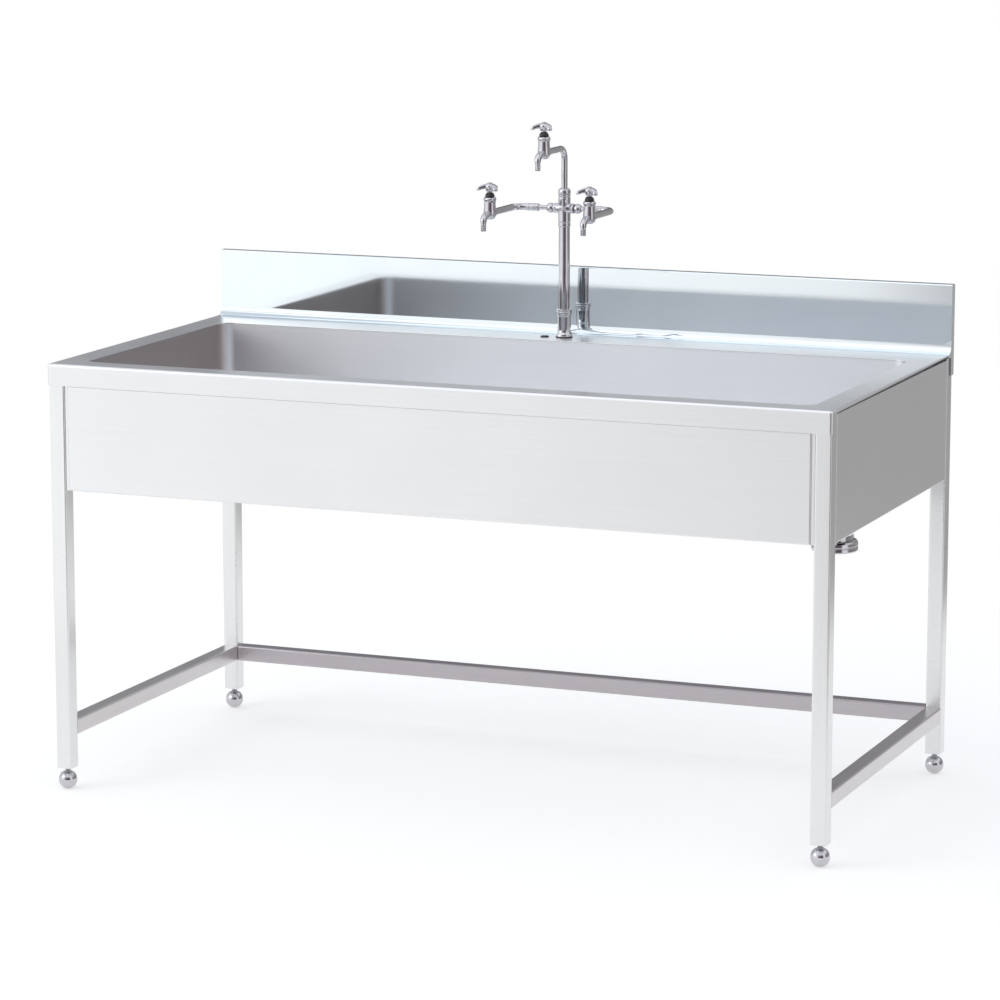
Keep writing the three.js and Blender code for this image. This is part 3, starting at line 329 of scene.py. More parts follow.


# %% [markdown]
# ### The metals and the dark parts
#
# Brushed steel has its hairlines along the length of each part, so they need a direction: a sheet or a tube
# has one material for each way it can run. The tubes across and along are also darker than the legs: painted
# shade for the shaded floor under the sink that they mirror. The raised back and the tap are polished
# instead.
# The basin's end walls are painted a dark brown: painted shade for the dark that they mirror.

# %% Materials
FINE, LONG = 700.0, 3.0
GRAIN_X, GRAIN_Y, GRAIN_Z = (LONG, FINE, FINE), (FINE, LONG, FINE), (FINE, FINE, LONG)
STEEL_DARK, STEEL_LIGHT = (0.775, 0.78, 0.785), (0.86, 0.865, 0.87)
# Painted shade: a dark brown on the basin's end walls, for the dark that they mirror.
END_WALL_PAINTED_SHADE = (0.684, 0.697, (0.40, 0.355, 0.34))
sheet_x = brushed("Sheet brushed along X", GRAIN_X, STEEL_DARK, STEEL_LIGHT, 0.33)
sheet_y = brushed("Sheet brushed along Y", GRAIN_Y, STEEL_DARK, STEEL_LIGHT, 0.33)
basin_steel = brushed("Basin steel", GRAIN_X, (0.86, 0.87, 0.89), (0.95, 0.96, 0.98), 0.46, wave=0.0,
                      ends=END_WALL_PAINTED_SHADE)
# Painted shade: tubes across and along are darker than the legs, for the shaded floor under the sink they
# mirror.
tube_x_painted_shade = brushed("Tube brushed along X, painted shade", GRAIN_X, (0.44, 0.41, 0.43), (0.55, 0.52, 0.54), 0.3, wave=0.0)
tube_y_painted_shade = brushed("Tube brushed along Y, painted shade", GRAIN_Y, (0.60, 0.575, 0.575), (0.72, 0.695, 0.695), 0.3, wave=0.0)
tube_z = brushed("Tube brushed along Z", GRAIN_Z, (0.74, 0.745, 0.74), (0.85, 0.855, 0.85), 0.27, wave=0.0)
polished = bright("Polished steel", (0.77, 0.82, 0.845), (0.82, 0.865, 0.89), 0.04, 0.06, 6.0, 0.0002)
chrome = bright("Chrome", (0.54, 0.53, 0.555), (0.62, 0.61, 0.635), 0.03, 0.07, 60.0, 0.0)
zinc = dull("Zinc plate", (0.50, 0.51, 0.52), (0.66, 0.67, 0.68), 0.38, 0.5, 120.0, 0.0001, 1.0)
black_plastic = dull("Black plastic", (0.018, 0.017, 0.018), (0.032, 0.030, 0.032), 0.28, 0.4, 150.0,
                     0.00004)
rubber = dull("Rubber", (0.03, 0.03, 0.031), (0.06, 0.06, 0.062), 0.65, 0.8, 90.0, 0.0001)
print(len(bpy.data.materials), "materials")

# %% [markdown]
# ## Making a piece
#
# A piece takes the place of one CAD node, so it rides on that node's body and the node is hidden. Its
# edges stay sharp where two faces meet at more than a set angle. Weighted normals keep the big flat faces
# flat right up to their rounded edges.

# %% Piece maker
SHARP_ANGLE = math.radians(40)


def piece(node, parts, material):
    """One mesh of several parts, in place of a CAD node."""
    starts = np.cumsum([0] + [len(points) for points, _ in parts])
    points = np.concatenate([points for points, _ in parts]) * MM
    faces = [[int(i + start) for i in face] for start, (_, part) in zip(starts, parts) for face in part]
    mesh = bpy.data.meshes.new(node + "_form")
    mesh.from_pydata(points.tolist(), [], faces)
    mesh.materials.append(material)
    mesh.shade_smooth()
    mesh.set_sharp_from_angle(angle=SHARP_ANGLE)
    made = bpy.data.objects.new(node + "_form", mesh)
    scene.collection.objects.link(made)
    made.modifiers.new("Even shading", "WEIGHTED_NORMAL").keep_sharp = True
    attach(made, body_of_node[node])
    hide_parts(node)
    return made


def span(node):
    """Lowest and highest corner of a CAD node, in millimetres."""
    low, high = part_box(node)
    return np.array(low) / MM, np.array(high) / MM


def report(nodes):
    """Prints how many pieces were made, with their faces."""
    meshes = [bpy.data.objects[n + "_form"].data for n in nodes]
    print(len(meshes), "pieces,", sum(len(m.polygons) for m in meshes), "faces")


# %% [markdown]
# ## Top sheet
#
# On the real sink the rim, the rear deck and the front fascia are folded from one thin sheet. A plane with
# Solidify and Bevel could make it, but the fascia hangs at the front only. As one stack of loops each point
# has a height of its own. The stack starts at the edge of the basin opening, runs out across the rim, turns
# down over a rounded edge and comes back underneath. The lowest loop hangs low along the front, where it is
# the fascia, and high along the sides, where it is only a lip.

# %% Top sheet
SHEET, TOP = 2.0, 800.0
EDGE, LIP = 5.0, 6.0
BROKEN_EDGE, HALF_BROKEN = 0.8, 0.2
CORNER_STEPS, NEAR = 10, 0.5
OPENING_RADIUS, FRONT_CORNER, LEAST_CORNER, SQUARE_CORNER = 28.0, 6.0, 0.6, 0.01
sheet_low, sheet_high = span("top_sheet")
opening_low, opening_high = np.array([-700.0, -325.0]), np.array([700.0, 255.0])
FASCIA_BOTTOM, LIP_BOTTOM = sheet_low[2], TOP - LIP


def opening_loop(grow):
    """The basin opening, grown outwards by a distance."""
    radii = [OPENING_RADIUS + grow] * 4
    return rounded_rectangle(opening_low - grow, opening_high + grow, radii, CORNER_STEPS)


def sheet_loop(inset):
    """The sheet's outline, drawn in by a distance at the front and the sides but not at the rear."""
    front = max(FRONT_CORNER - inset, LEAST_CORNER)
    low = sheet_low[:2] + inset
    high = np.array([sheet_high[0] - inset, sheet_high[1]])
    return rounded_rectangle(low, high, [front, SQUARE_CORNER, SQUARE_CORNER, front], CORNER_STEPS)


rim = sheet_loop(0)
at_rear = rim[:, 1] > sheet_high[1] - NEAR
at_front = rim[:, 1] < sheet_low[1] + FRONT_CORNER - NEAR
lip = np.where(at_front, FASCIA_BOTTOM, np.where(at_rear, TOP - SHEET, LIP_BOTTOM))
sheet_stack = [at_height(opening_loop(0), TOP - SHEET), at_height(opening_loop(0), TOP - BROKEN_EDGE),
               at_height(opening_loop(HALF_BROKEN), TOP - HALF_BROKEN),
               at_height(opening_loop(BROKEN_EDGE), TOP)]
for turn in np.linspace(0, np.pi / 2, 8):
    fall = EDGE * (1 - np.cos(turn))
    edge_loop = sheet_loop(EDGE * (1 - np.sin(turn)))
    sheet_stack.append(at_height(edge_loop, np.where(at_rear, TOP, TOP - fall)))
sheet_stack += [at_height(rim, lip), at_height(sheet_loop(SHEET), lip),
                at_height(sheet_loop(SHEET), np.where(at_rear, TOP - SHEET, TOP - EDGE)),
                at_height(sheet_loop(EDGE), TOP - SHEET)]
RETURN_HALF, RETURN_FRONT, RETURN_BACK = 717.0, -373.0, -360.0
return_loop = rounded_rectangle((-RETURN_HALF, RETURN_FRONT), (RETURN_HALF, RETURN_BACK), [1] * 4, 2)
fascia_return = loft(np.stack([at_height(return_loop, FASCIA_BOTTOM + lift) for lift in (0, SHEET)]))
piece("top_sheet", [loft(np.stack(sheet_stack), closed=True), fascia_return], sheet_x)
report(["top_sheet"])

# %% [markdown]
# ## Basin
#
# The basin is one long welded bowl with rounded corners and a hole for the drain. A box with a bevelled
# inside could make it, but the hole would leave a fan of thin faces. Here the loops start as a circle round
# the drain, spread across the floor, climb the rounded foot and the walls, turn over the brim and come back
# down the outside, so the sheet has its thickness everywhere.

# %% Basin
DRAIN = np.array([636.0, 15.0])
DRAIN_HOLE, FILLET, FLOOR = 38.4, 18.0, 600.0
FLANGE = 6.0


def basin_loop(inset):
    """The basin's inner outline, drawn in by a distance."""
    return opening_loop(-inset)


def drain_loop(radius):
    """A circle round the drain, each point on the line from the drain to the same point of the basin's
    foot."""
    away = basin_loop(FILLET) - DRAIN
    return DRAIN + radius * away / np.linalg.norm(away, axis=1)[:, None]


def fillet_loop(turn, radius):
    """A loop of the round between floor and wall, at an angle up from the floor."""
    return at_height(basin_loop(FILLET - radius * np.sin(turn)), FLOOR + FILLET - radius * np.cos(turn))


turns = np.linspace(0, np.pi / 2, 9)
basin_top = span("basin")[1][2]
inside = [at_height(drain_loop(DRAIN_HOLE), FLOOR)] + [fillet_loop(turn, FILLET) for turn in turns]
brim = [at_height(basin_loop(0), basin_top), at_height(basin_loop(-FLANGE), basin_top),
        at_height(basin_loop(-FLANGE), basin_top - SHEET), at_height(basin_loop(-SHEET), basin_top - SHEET)]
outside = [fillet_loop(turn, FILLET + SHEET) for turn in turns[::-1]]
outside.append(at_height(drain_loop(DRAIN_HOLE), FLOOR - SHEET))
piece("basin", [loft(np.stack(inside + brim + outside), closed=True)], basin_steel)
report(["basin"])

# %% [markdown]
# ## Raised back
#
# The raised back is a sheet that is bent three times: a cove out of the deck, a tight bend at the front of
# the top and another at its rear. A bevelled box would have no cove. Its section is drawn once, from arcs in
# Y and Z, and carried along X, and two end plates close it.

# %% Raised back
REAR, FACE, SPLASH_TOP, COVE, SPLASH_EDGE = 375.0, 357.0, 930.0, 18.0, 3.0
SPLASH_END = 750.0


def arc(y, z, radius, start, end, steps=12):
    """Points of an arc about (y, z), from one angle in degrees to another."""
    angle = np.radians(np.linspace(start, end, steps + 1))
    return np.stack([y + radius * np.cos(angle), z + radius * np.sin(angle)], -1)


def along_x(section, start, end):
    """A section drawn in Y and Z, carried from one place along X to another."""
    return loft(np.stack([np.column_stack([np.full(len(section), x), section]) for x in (start, end)]))


low_edge, cove_top = SPLASH_TOP - SPLASH_EDGE, TOP + COVE
shown_face = np.concatenate([
    arc(REAR - SPLASH_EDGE, low_edge, SPLASH_EDGE, 0, 90),
    arc(FACE + SPLASH_EDGE, low_edge, SPLASH_EDGE, 90, 180),
    arc(FACE - COVE, cove_top, COVE, 0, -90)])
hidden_face = np.concatenate([
    arc(FACE - COVE, cove_top, COVE + SHEET, -90, 0),
    arc(FACE + SPLASH_EDGE, low_edge, SPLASH_EDGE - SHEET, 180, 90),
    arc(REAR - SPLASH_EDGE, low_edge, SPLASH_EDGE - SHEET, 90, 0)])
fold = np.concatenate([shown_face, hidden_face, [[REAR - SHEET, FASCIA_BOTTOM], [REAR, FASCIA_BOTTOM]]])
end_plate = np.concatenate([shown_face, [[FACE - COVE, LIP_BOTTOM], [FACE, LIP_BOTTOM],
                                         [FACE, FASCIA_BOTTOM], [REAR, FASCIA_BOTTOM]]])
fold_end = SPLASH_END - SHEET
piece("backsplash", [along_x(fold, -fold_end, fold_end), along_x(end_plate, -SPLASH_END, -fold_end),
                     along_x(end_plate, fold_end, SPLASH_END)], polished)
report(["backsplash"])

# %% [markdown]
# ## Aprons and stand
#
# The apron and the side panels are folded trays: a flat face, a small bend and a return. A bevelled box
# would look alike from the front, but a tray shows its thin edge and its hollow from below. A narrow strip
# behind each end of the apron closes the slit between it and the leg.

# %% Trays
BEND, TRAY_CORNER = 2.5, 0.8
SEAL_FRONT, SEAL_BACK, SEAL_LAP, SEAL_GAP = 3.0, 5.0, 1.0, 0.4


def loop_across(axis, low, high, radius, steps, place):
    """A rounded rectangle in the two axes that lie across a given one, at a place along it."""
    flat = [(axis + 1) % 3, (axis + 2) % 3]
    outline = rounded_rectangle(low[flat], high[flat], [radius] * 4, steps)
    loop = np.zeros((len(outline), 3))
    loop[:, flat] = outline
    loop[:, axis] = place
    return loop


def tray(node, outward, material, extra=()):
    """A folded tray that faces one way along an axis: the flat face, a quarter-round bend, the return and
    the inside again. Its size comes from the CAD node."""
    low, high = span(node)
    axis = int(np.argmax(np.abs(outward)))
    sign = outward[axis]
    face, back = (high[axis], low[axis]) if sign > 0 else (low[axis], high[axis])
    steps = np.linspace(0, np.pi / 2, 6)
    profile = [(BEND * (1 - np.sin(t)), BEND * (1 - np.cos(t))) for t in steps]
    profile += [(0, abs(back - face)), (SHEET, abs(back - face)), (SHEET, SHEET)]
    loops = [loop_across(axis, low + inset, high - inset, TRAY_CORNER, 3, face - sign * depth)
             for inset, depth in profile]
    return piece(node, [loft(np.stack(loops)), *extra], material)


apron_low, apron_high = span("front_apron")
seal_y = apron_low[1] + np.array([SEAL_FRONT, SEAL_BACK])
seal = np.stack([seal_y[[0, 1, 1, 0]], [apron_low[2]] * 2 + [apron_high[2]] * 2], -1)
seal_end = span("leg_front_right")[0][0] - SEAL_GAP
seals = [along_x(seal, apron_high[0] - SEAL_LAP, seal_end),
         along_x(seal, -seal_end, apron_low[0] + SEAL_LAP)]
tray("front_apron", (0, -1, 0), sheet_x, seals)
tray("left_side_panel", (-1, 0, 0), sheet_y)
tray("right_side_panel", (1, 0, 0), sheet_y)
report(["front_apron", "left_side_panel", "right_side_panel"])

# %% [markdown]
# ### Square tubes
#
# The legs, the stretchers and the top rails are thin-walled square tubes, open at their ends, with rounded
# corners. A Solidify modifier could hollow a box, but four loops outside and two inside give the wall and
# the broken outer edges at once. The CAD node says how long each tube is and which way it runs.

# %% Square tubes
WALL, TUBE_CORNER, BURR = 1.5, 3.0, 0.4
CORNERS = ["front_left", "front_right", "rear_left", "rear_right"]
UPRIGHTS = ["leg_" + c for c in CORNERS]
CROSSWISE = ["rear_stretcher", "front_top_rail", "rear_top_rail"]
LENGTHWISE = ["left_stretcher", "right_stretcher", "left_top_rail", "right_top_rail"]


def square_tube(node, material):
    """A square tube along the CAD node's longest side: rounded squares up the outside and down the inside,
    with the burr taken off both outer ends."""
    low, high = span(node)
    axis = int(np.argmax(high - low))
    profile = [(BURR, low), (0, low + BURR), (0, high - BURR), (BURR, high), (WALL, high), (WALL, low)]
    loops = [loop_across(axis, low + inset, high - inset, TUBE_CORNER - inset, 6, end[axis])
             for inset, end in profile]
    return piece(node, [loft(np.stack(loops), closed=True)], material)


for names, steel in ((UPRIGHTS, tube_z), (CROSSWISE, tube_x_painted_shade), (LENGTHWISE, tube_y_painted_shade)):
    for name in names:
        square_tube(name, steel)
report(UPRIGHTS + CROSSWISE + LENGTHWISE)

# %% [markdown]
# ### Ball feet
#
# Each leg stands on a chromed ball with a flat underneath and a screw that goes up into the leg. The ball
# is an arc turned about Z. The screw thread is a grid of height and angle whose radius rises and falls.

# %% Ball feet
BALL, BALL_FLAT, STEM = 17.5, 6.0, 5.0
COLLAR = STEM * 1.25
STEM_PITCH, STEM_DEPTH = 1.5, 0.7
ball_centre = math.sqrt(BALL ** 2 - BALL_FLAT ** 2)
lowest, highest = math.asin(BALL_FLAT / BALL) - np.pi / 2, np.pi / 2 - math.asin(COLLAR / BALL)
angle = np.linspace(lowest, highest, 40)
ball = np.stack([BALL * np.cos(angle), ball_centre + BALL * np.sin(angle)], -1)
neck = ball[-1] + [-0.8, 1.2]
for corner in CORNERS:
    low, high = span("foot_" + corner)
    middle = (low + high) / 2 * [1, 1, 0]
    body = turned(np.concatenate([ball, [neck]]), 64)
    stem = threaded(STEM, STEM_PITCH, STEM_DEPTH, neck[1] - 1, high[2])
    piece("foot_" + corner, [moved(body, middle), moved(stem, middle)], chrome)
report(["foot_" + c for c in CORNERS])

# %% [markdown]
# ## Drain
#
# The drain hangs under the right end of the basin: a flange, a cup with a bead round it and an outlet nut.
# All are round, so each is one profile turned about the drain's axis. The outlet nut is a plain ring with a
# groove round its middle and a rounded shoulder above.

# %% Drain
def drain_piece(node, parts, material):
    """A piece whose parts are drawn about the drain's axis, with heights from the basin's floor."""
    return piece(node, [moved(part, (*DRAIN, FLOOR)) for part in parts], material)


flange = [(36, -40), (38, -40), (38, 0.3), (45, 0.3), (45, 1.6), (42, 3), (37.5, 3), (36, 1.5), (36, -10),
          (32.5, -10), (32.5, -13), (36, -16.5)]
drain_piece("drain_flange", [turned(softened(flange, 0.5, 2), 96, True)], polished)
cup = [(30, -114.9), (34, -114.9), (34, -84.9), (42, -71.9), (42, -19.9), (38.4, -19.9), (38.4, -40.3),
       (30, -40.3)]
bead = [(41, -31), (43.2, -31), (43.2, -25), (41, -25)]
drain_piece("drain_cup", [turned(softened(cup, 1.5), 96, True),
                          turned(softened(bead, 1.2), 96, True)], chrome)
ring_nut = [(34.4, -116.4), (40.6, -116.4), (42, -114.6), (42, -109), (40.8, -108), (40.8, -106.6),
            (42, -105.6), (42, -100.6), (39.6, -96.6), (37.4, -95.4), (34.4, -95.4)]
drain_piece("drain_outlet_nut", [turned(softened(ring_nut, 0.8), 96, True)], chrome)
report(["drain_flange", "drain_cup", "drain_outlet_nut"])

# %% [markdown]
# ## Tap
#
# A laboratory tap is turned from bar and bent from pipe, then plated, and it can be made here in the same
# two ways. Heights in these cells are measured from the deck, and the tap's own axis is the origin. The
# base, the column and the nuts are turned first.

# %% Base, column and cross
TAP = np.array([0.0, 306.0, TOP])
SIDE_AXIS, UPPER_AXIS = 247.0, 362.0
TAIL = {"radius": 10, "pitch": 2, "depth": 0.9, "bottom": -35, "top": 2.2, "sides": 40}


def tap_piece(node, parts, material=chrome):
    """A piece whose parts are drawn about the tap's axis, with heights from the deck."""
    return piece(node, [moved(part, TAP) for part in parts], material)


base = [(7, -2), (16, 2.1), (16.4, 4.2), (15.8, 6.5), (13.6, 10), (12.9, 14), (12.9, 40), (13.4, 43),
        (13.4, 45), (14.8, 46), (14.8, 49), (14.2, 49.6), (14.2, 50.4), (14.8, 51), (14.8, 53.4), (14, 54.1),
        (10.9, 54.1), (10.9, 8.1), (7, 8.1)]
tap_piece("tap_base", [turned(softened(base, 0.5, 3), 64, True), threaded(**TAIL)])
washer = [(10.4, 0.3), (16.2, 0.3), (16.2, 1.8), (10.4, 1.8)]
tap_piece("tap_washer", [turned(softened(washer, 0.3), 64, True)], rubber)
tap_piece("tap_column", [turned([(10.5, 8.4), (10.5, 211.7), (8.7, 211.7), (8.7, 220)], 64)])
shell = [(9.1, 212), (10.9, 212), (11.5, 213), (11.5, 218), (11, 219), (11, 221), (11.5, 222), (11.5, 267),
         (11, 268), (11, 270), (11.5, 271), (11.5, 273.2), (10.8, 274), (6.2, 274), (6.2, 221), (9.1, 220)]
boss = [(9.2, -20), (9.5, -19.4), (9.5, -17), (9, -16.4), (9.6, -12), (11, -8), (12.2, 0), (11, 8),
        (9.6, 12), (9, 16.4), (9.5, 17), (9.5, 19.4), (9.2, 20)]
tap_piece("tap_cross", [turned(softened(shell, 0.4, 2), 64, True),
                        moved(turned(softened(boss, 2), 64), (0, 0, SIDE_AXIS), ALONG_X)])
gland = [(6.2, 274.3), (11.2, 274.3), (11.8, 275.2), (11.8, 280), (10.9, 283), (8.2, 285.3), (6.2, 285.3)]
tap_piece("riser_gland_nut", [turned(softened(gland, 0.8), 64, True)])
report(["tap_base", "tap_washer", "tap_column", "tap_cross", "riser_gland_nut"])

# %% [markdown]
# ### Arms and riser
#
# A side arm starts as a turned run with grooves and goes on as a bent pipe. The riser is one bent pipe. A
# curve with a bevel could draw them, but a swept circle gives the mesh at once and keeps its rings square
# to the path.

# %% Arms and riser
UNION_AT, UNION_BALL = 27.3, 9.5
SIDE_REACH, SIDE_START, SIDE_END, SIDE_BEND, SIDE_PIPE = 100.0, 64.0, -120.7, 24.0, 6.3
RISER_START, RISER_END, RISER_BEND, RISER_PIPE = 258.0, -97.7, 22.0, 5.8
ball_turn = np.radians(np.linspace(-47, 47, 24))
nut_ball = UNION_BALL * np.stack([np.cos(ball_turn), np.sin(ball_turn)], -1)
union = np.concatenate([[(4.8, -7)], nut_ball, [(4.8, 7)]])
straight = [(4.4, 6.2), (4.4, 52), (6.4, 52), (7.2, 52.8), (7.2, 57), (6.5, 57.6), (6.5, 59.4), (7.2, 60),
            (7.2, 68), (6.5, 68.6), (6.5, 70.4), (7.2, 71), (7.2, 75.2), (6.4, 76)]
for name, side in (("left", -1), ("right", 1)):
    outward = ALONG_X * [[side], [side], [1]]
    tap_piece(name + "_union_nut", [moved(turned(union, 64, True), (side * UNION_AT, 0, SIDE_AXIS), ALONG_X)])
    sweep = bend((side * SIDE_START, 0, SIDE_AXIS), (side * SIDE_REACH, 0, SIDE_AXIS),
                 (side * SIDE_REACH, SIDE_END, SIDE_AXIS), SIDE_BEND)
    tap_piece(name + "_arm", [moved(turned(softened(straight, 0.3, 2), 48), (0, 0, SIDE_AXIS), outward),
                              piped(sweep, SIDE_PIPE, (0, 0, 1))])
climb = bend((0, 0, RISER_START), (0, 0, UPPER_AXIS), (0, RISER_END, UPPER_AXIS), RISER_BEND)
tap_piece("riser", [piped(climb, RISER_PIPE, (1, 0, 0))])
report(["left_union_nut", "right_union_nut", "left_arm", "right_arm", "riser"])

# %% [markdown]
# ### Valves
#
# The three valves are alike, so their profiles are listed once, each about the valve's own axis. The body
# joins a turned barrel, a turned inlet and a swept spout, whose line is a quadratic curve. The handle has a
# turned hub and three arms.

# %% Valve profiles
BARREL = [(3.4, -12), (5.6, -11.7), (9.6, -8.9), (11.8, -3.5), (12, 2), (11.3, 9), (10.8, 16), (10.8, 20),
          (11.4, 23.5), (12.2, 25.6), (12.2, 27.4), (10.8, 29.4), (9.2, 30)]
INLET = [(8, 0), (8.4, 8), (8.8, 12.6), (8.8, 16.2), (8.2, 17)]
NOZZLE = [(2.6, -31.3), (4.6, -31.3), (5.4, -28), (4.7, -27.6), (5.4, -24), (4.7, -23.6), (5.4, -20),
          (4.7, -19.6), (4.7, -17.5), (5.6, -17), (5.6, -13.3), (3.9, -13.3), (3.9, -8.3), (2.6, -8.3)]
CAP = [(3.4, 30.3), (8.6, 30.3), (9.2, 31), (9, 33), (8, 35.6), (6.4, 37.8), (4.8, 39), (3.4, 39)]
SPINDLE = [(3, 10), (3, 55.6), (4.4, 55.6), (4.6, 56.2), (3.6, 57.2), (1.2, 57.4)]
HUB = [(3.4, 40.3), (6.2, 40.3), (7.4, 41.8), (8.6, 45), (9.4, 49), (9.2, 51.6), (8, 54), (6, 55.3),
       (3.4, 55.3)]
SPOUT_END = -32.0
t = np.linspace(0, 1, 24)[:, None]
SPOUT = (1 - t) ** 2 * [0, -2, -1] + 2 * t * (1 - t) * [0, -31, -1] + t ** 2 * [0, SPOUT_END, -13]
print("profiles ready, and a spout of", len(SPOUT), "points")

# %% Handle arms
ARM_ANGLES = (202, 82, -38)
ARM_ROOT, ARM_TIP_START, ARM_TIP = 3.6, 19.5, 5.5
ARM_HEIGHT, ARM_DROP, DROP_START, DROP_RUN = 50.4, 6.2, 7.0, 18.0
ARM_HALF_WIDTH, ARM_HALF_HEIGHTS = 4.7, (4.6, 3.6)
ARM_SIDES, ARM_SQUARENESS, LEAST_TIP = 28, 0.6, 0.0004


def handle_arm(degrees):
    """One drooping arm of a handle: deep sections with upright sides, along a line that runs out from the hub
    and falls away faster and faster. A section is a circle whose cosine and sine are raised to a power below
    one, which squares it. The sections shrink to a rounded tip as a quarter circle does."""
    along_tip = ARM_TIP_START + ARM_TIP * np.sin(np.linspace(0.1, 1.52, 12))
    reach = np.concatenate([np.linspace(ARM_ROOT, ARM_TIP_START, 14), along_tip])[:, None]
    drop = ARM_DROP * np.clip((reach - DROP_START) / DROP_RUN, 0, 1) ** 1.5
    half_height = np.interp(reach, [8, ARM_TIP_START + ARM_TIP], ARM_HALF_HEIGHTS)
    past = np.clip(reach - ARM_TIP_START, 0, None) / ARM_TIP
    tip = np.sqrt(np.clip(1 - past ** 2, LEAST_TIP, 1))
    ring = circle(ARM_SIDES)
    ring = np.sign(ring) * np.abs(ring) ** ARM_SQUARENESS
    loops = np.stack([np.broadcast_to(reach, (len(reach), ARM_SIDES)), ARM_HALF_WIDTH * tip * ring[:, 0],
                      ARM_HEIGHT - drop + half_height * tip * ring[:, 1]], -1)
    a = math.radians(degrees)
    turn = [[math.cos(a), -math.sin(a), 0], [math.sin(a), math.cos(a), 0], [0, 0, 1]]
    return moved(loft(loops), turn=turn)


print(len(ARM_ANGLES), "arms to a handle")

# %% Valves
SIDE_FRONT, UPPER_FRONT = -130.0, -107.0
PLUG_AT = (-36, -10, 0)


def valve(name, offset):
    """One valve at an offset from the tap's axis: body, nozzle, cap, spindle and handle."""
    def place(part):
        return moved(part, offset)

    nose = moved(turned(softened(NOZZLE, 0.3, 2), 48, True), (0, SPOUT_END, 0))
    tap_piece(name + "_tap_body", [place(turned(softened(BARREL, 1.5), 64)),
                                   place(moved(turned(softened(INLET, 0.6), 48), turn=ALONG_Y)),
                                   place(piped(SPOUT, np.linspace(6.6, 6.2, len(SPOUT)), (1, 0, 0)))])
    tap_piece(name + "_nozzle", [place(nose)])
    tap_piece(name + "_packing_cap", [place(turned(softened(CAP, 0.6), 64, True))], black_plastic)
    tap_piece(name + "_spindle", [place(turned(softened(SPINDLE, 0.3, 2), 32))])
    arms = [place(handle_arm(degrees)) for degrees in ARM_ANGLES]
    tap_piece(name + "_handle", [place(turned(softened(HUB, 0.8), 48, True)), *arms])


valve("left", (-SIDE_REACH, SIDE_FRONT, SIDE_AXIS))
valve("right", (SIDE_REACH, SIDE_FRONT, SIDE_AXIS))
valve("upper", (0, UPPER_FRONT, UPPER_AXIS))
plug = [(6, -10), (6, 0.3), (8.5, 0.3), (8.5, 1.2), (7.6, 2.2), (5.6, 2.8), (0.5, 2.9)]
tap_piece("deck_hole_plug", [moved(turned(softened(plug, 0.4), 48), PLUG_AT)], black_plastic)
print("three valves and the deck plug")

# %% [markdown]
# ## CAD nodes that stay
#
# The strainer, the hidden nuts, the gasket and the plugs in the legs keep their CAD shape. They only get a
# finish and smooth shading.

# %% Finishes of the carried-over nodes
carried = {"drain_strainer": polished, "drain_gasket": rubber, "drain_lock_nut": zinc, "tap_lock_nut": zinc}
carried.update({"leg_plug_" + c: zinc for c in CORNERS})
for name, finish in carried.items():
    kept = frame["nodes"][name]
    kept.data.materials.clear()
    kept.data.materials.append(finish)
    kept.data.shade_smooth()
    kept.data.set_sharp_from_angle(angle=SHARP_ANGLE)
    kept.modifiers.new("Even shading", "WEIGHTED_NORMAL").keep_sharp = True
print(len(carried), "CAD nodes carried over")

# %% [markdown]
# ## Studio
#
# Bright metal shows what stands round it, so the studio is drawn as a world: light at the left, a dim patch
# on the camera's side, a bright strip at the right and dark grey behind. Real walls could stand there too,
# but a ramp of colours by heading is easier to tune. The camera itself sees plain white.

# %% World
world = bpy.data.worlds.new("Studio")
scene.world = world
world.use_nodes = True
sky = world.node_tree
sky.nodes.clear()
toward = add(sky, "SeparateXYZ", {0: add(sky, "TexCoord").outputs["Generated"]}).outputs
behind = add(sky, "Math", {0: toward["Y"], 1: -1.0}, operation="MULTIPLY").outputs[0]
heading = add(sky, "Math", {0: toward["X"], 1: behind}, operation="ARCTAN2").outputs[0]
full_turn = {"Value": heading, "From Min": -math.pi, "From Max": math.pi}
walls = add(sky, "ValToRGB", {"Fac": add(sky, "MapRange", full_turn).outputs["Result"]})
# Heading in degrees, from straight in front and growing to the right, with the wall's colour there
STOPS = [(-180, (0.30, 0.30, 0.31)), (-158, (0.17, 0.165, 0.17)), (-125, (0.50, 0.53, 0.57)),
         (-75, (1.16, 1.18, 1.20)), (-30, (1.20, 1.23, 1.25)), (-19, (1.10, 1.11, 1.12)),
         (-16.4, (0.97, 0.97, 0.98)), (-15.2, (0.52, 0.51, 0.53)), (-4, (0.64, 0.61, 0.63)),
         (3, (0.20, 0.17, 0.185)), (50, (0.14, 0.11, 0.125)), (58, (1.0, 1.0, 1.01)),
         (80, (1.0, 1.0, 1.01)), (92, (0.28, 0.26, 0.27)), (118, (0.34, 0.33, 0.335)),
         (158, (0.43, 0.43, 0.43)), (180, (0.30, 0.30, 0.31))]
ramp = walls.color_ramp.elements
while len(ramp) < len(STOPS):
    ramp.new(0.5)
for stop, (degrees, colour) in zip(ramp, STOPS):
    stop.position = (degrees + 180) / 360
    stop.color = (*colour, 1)
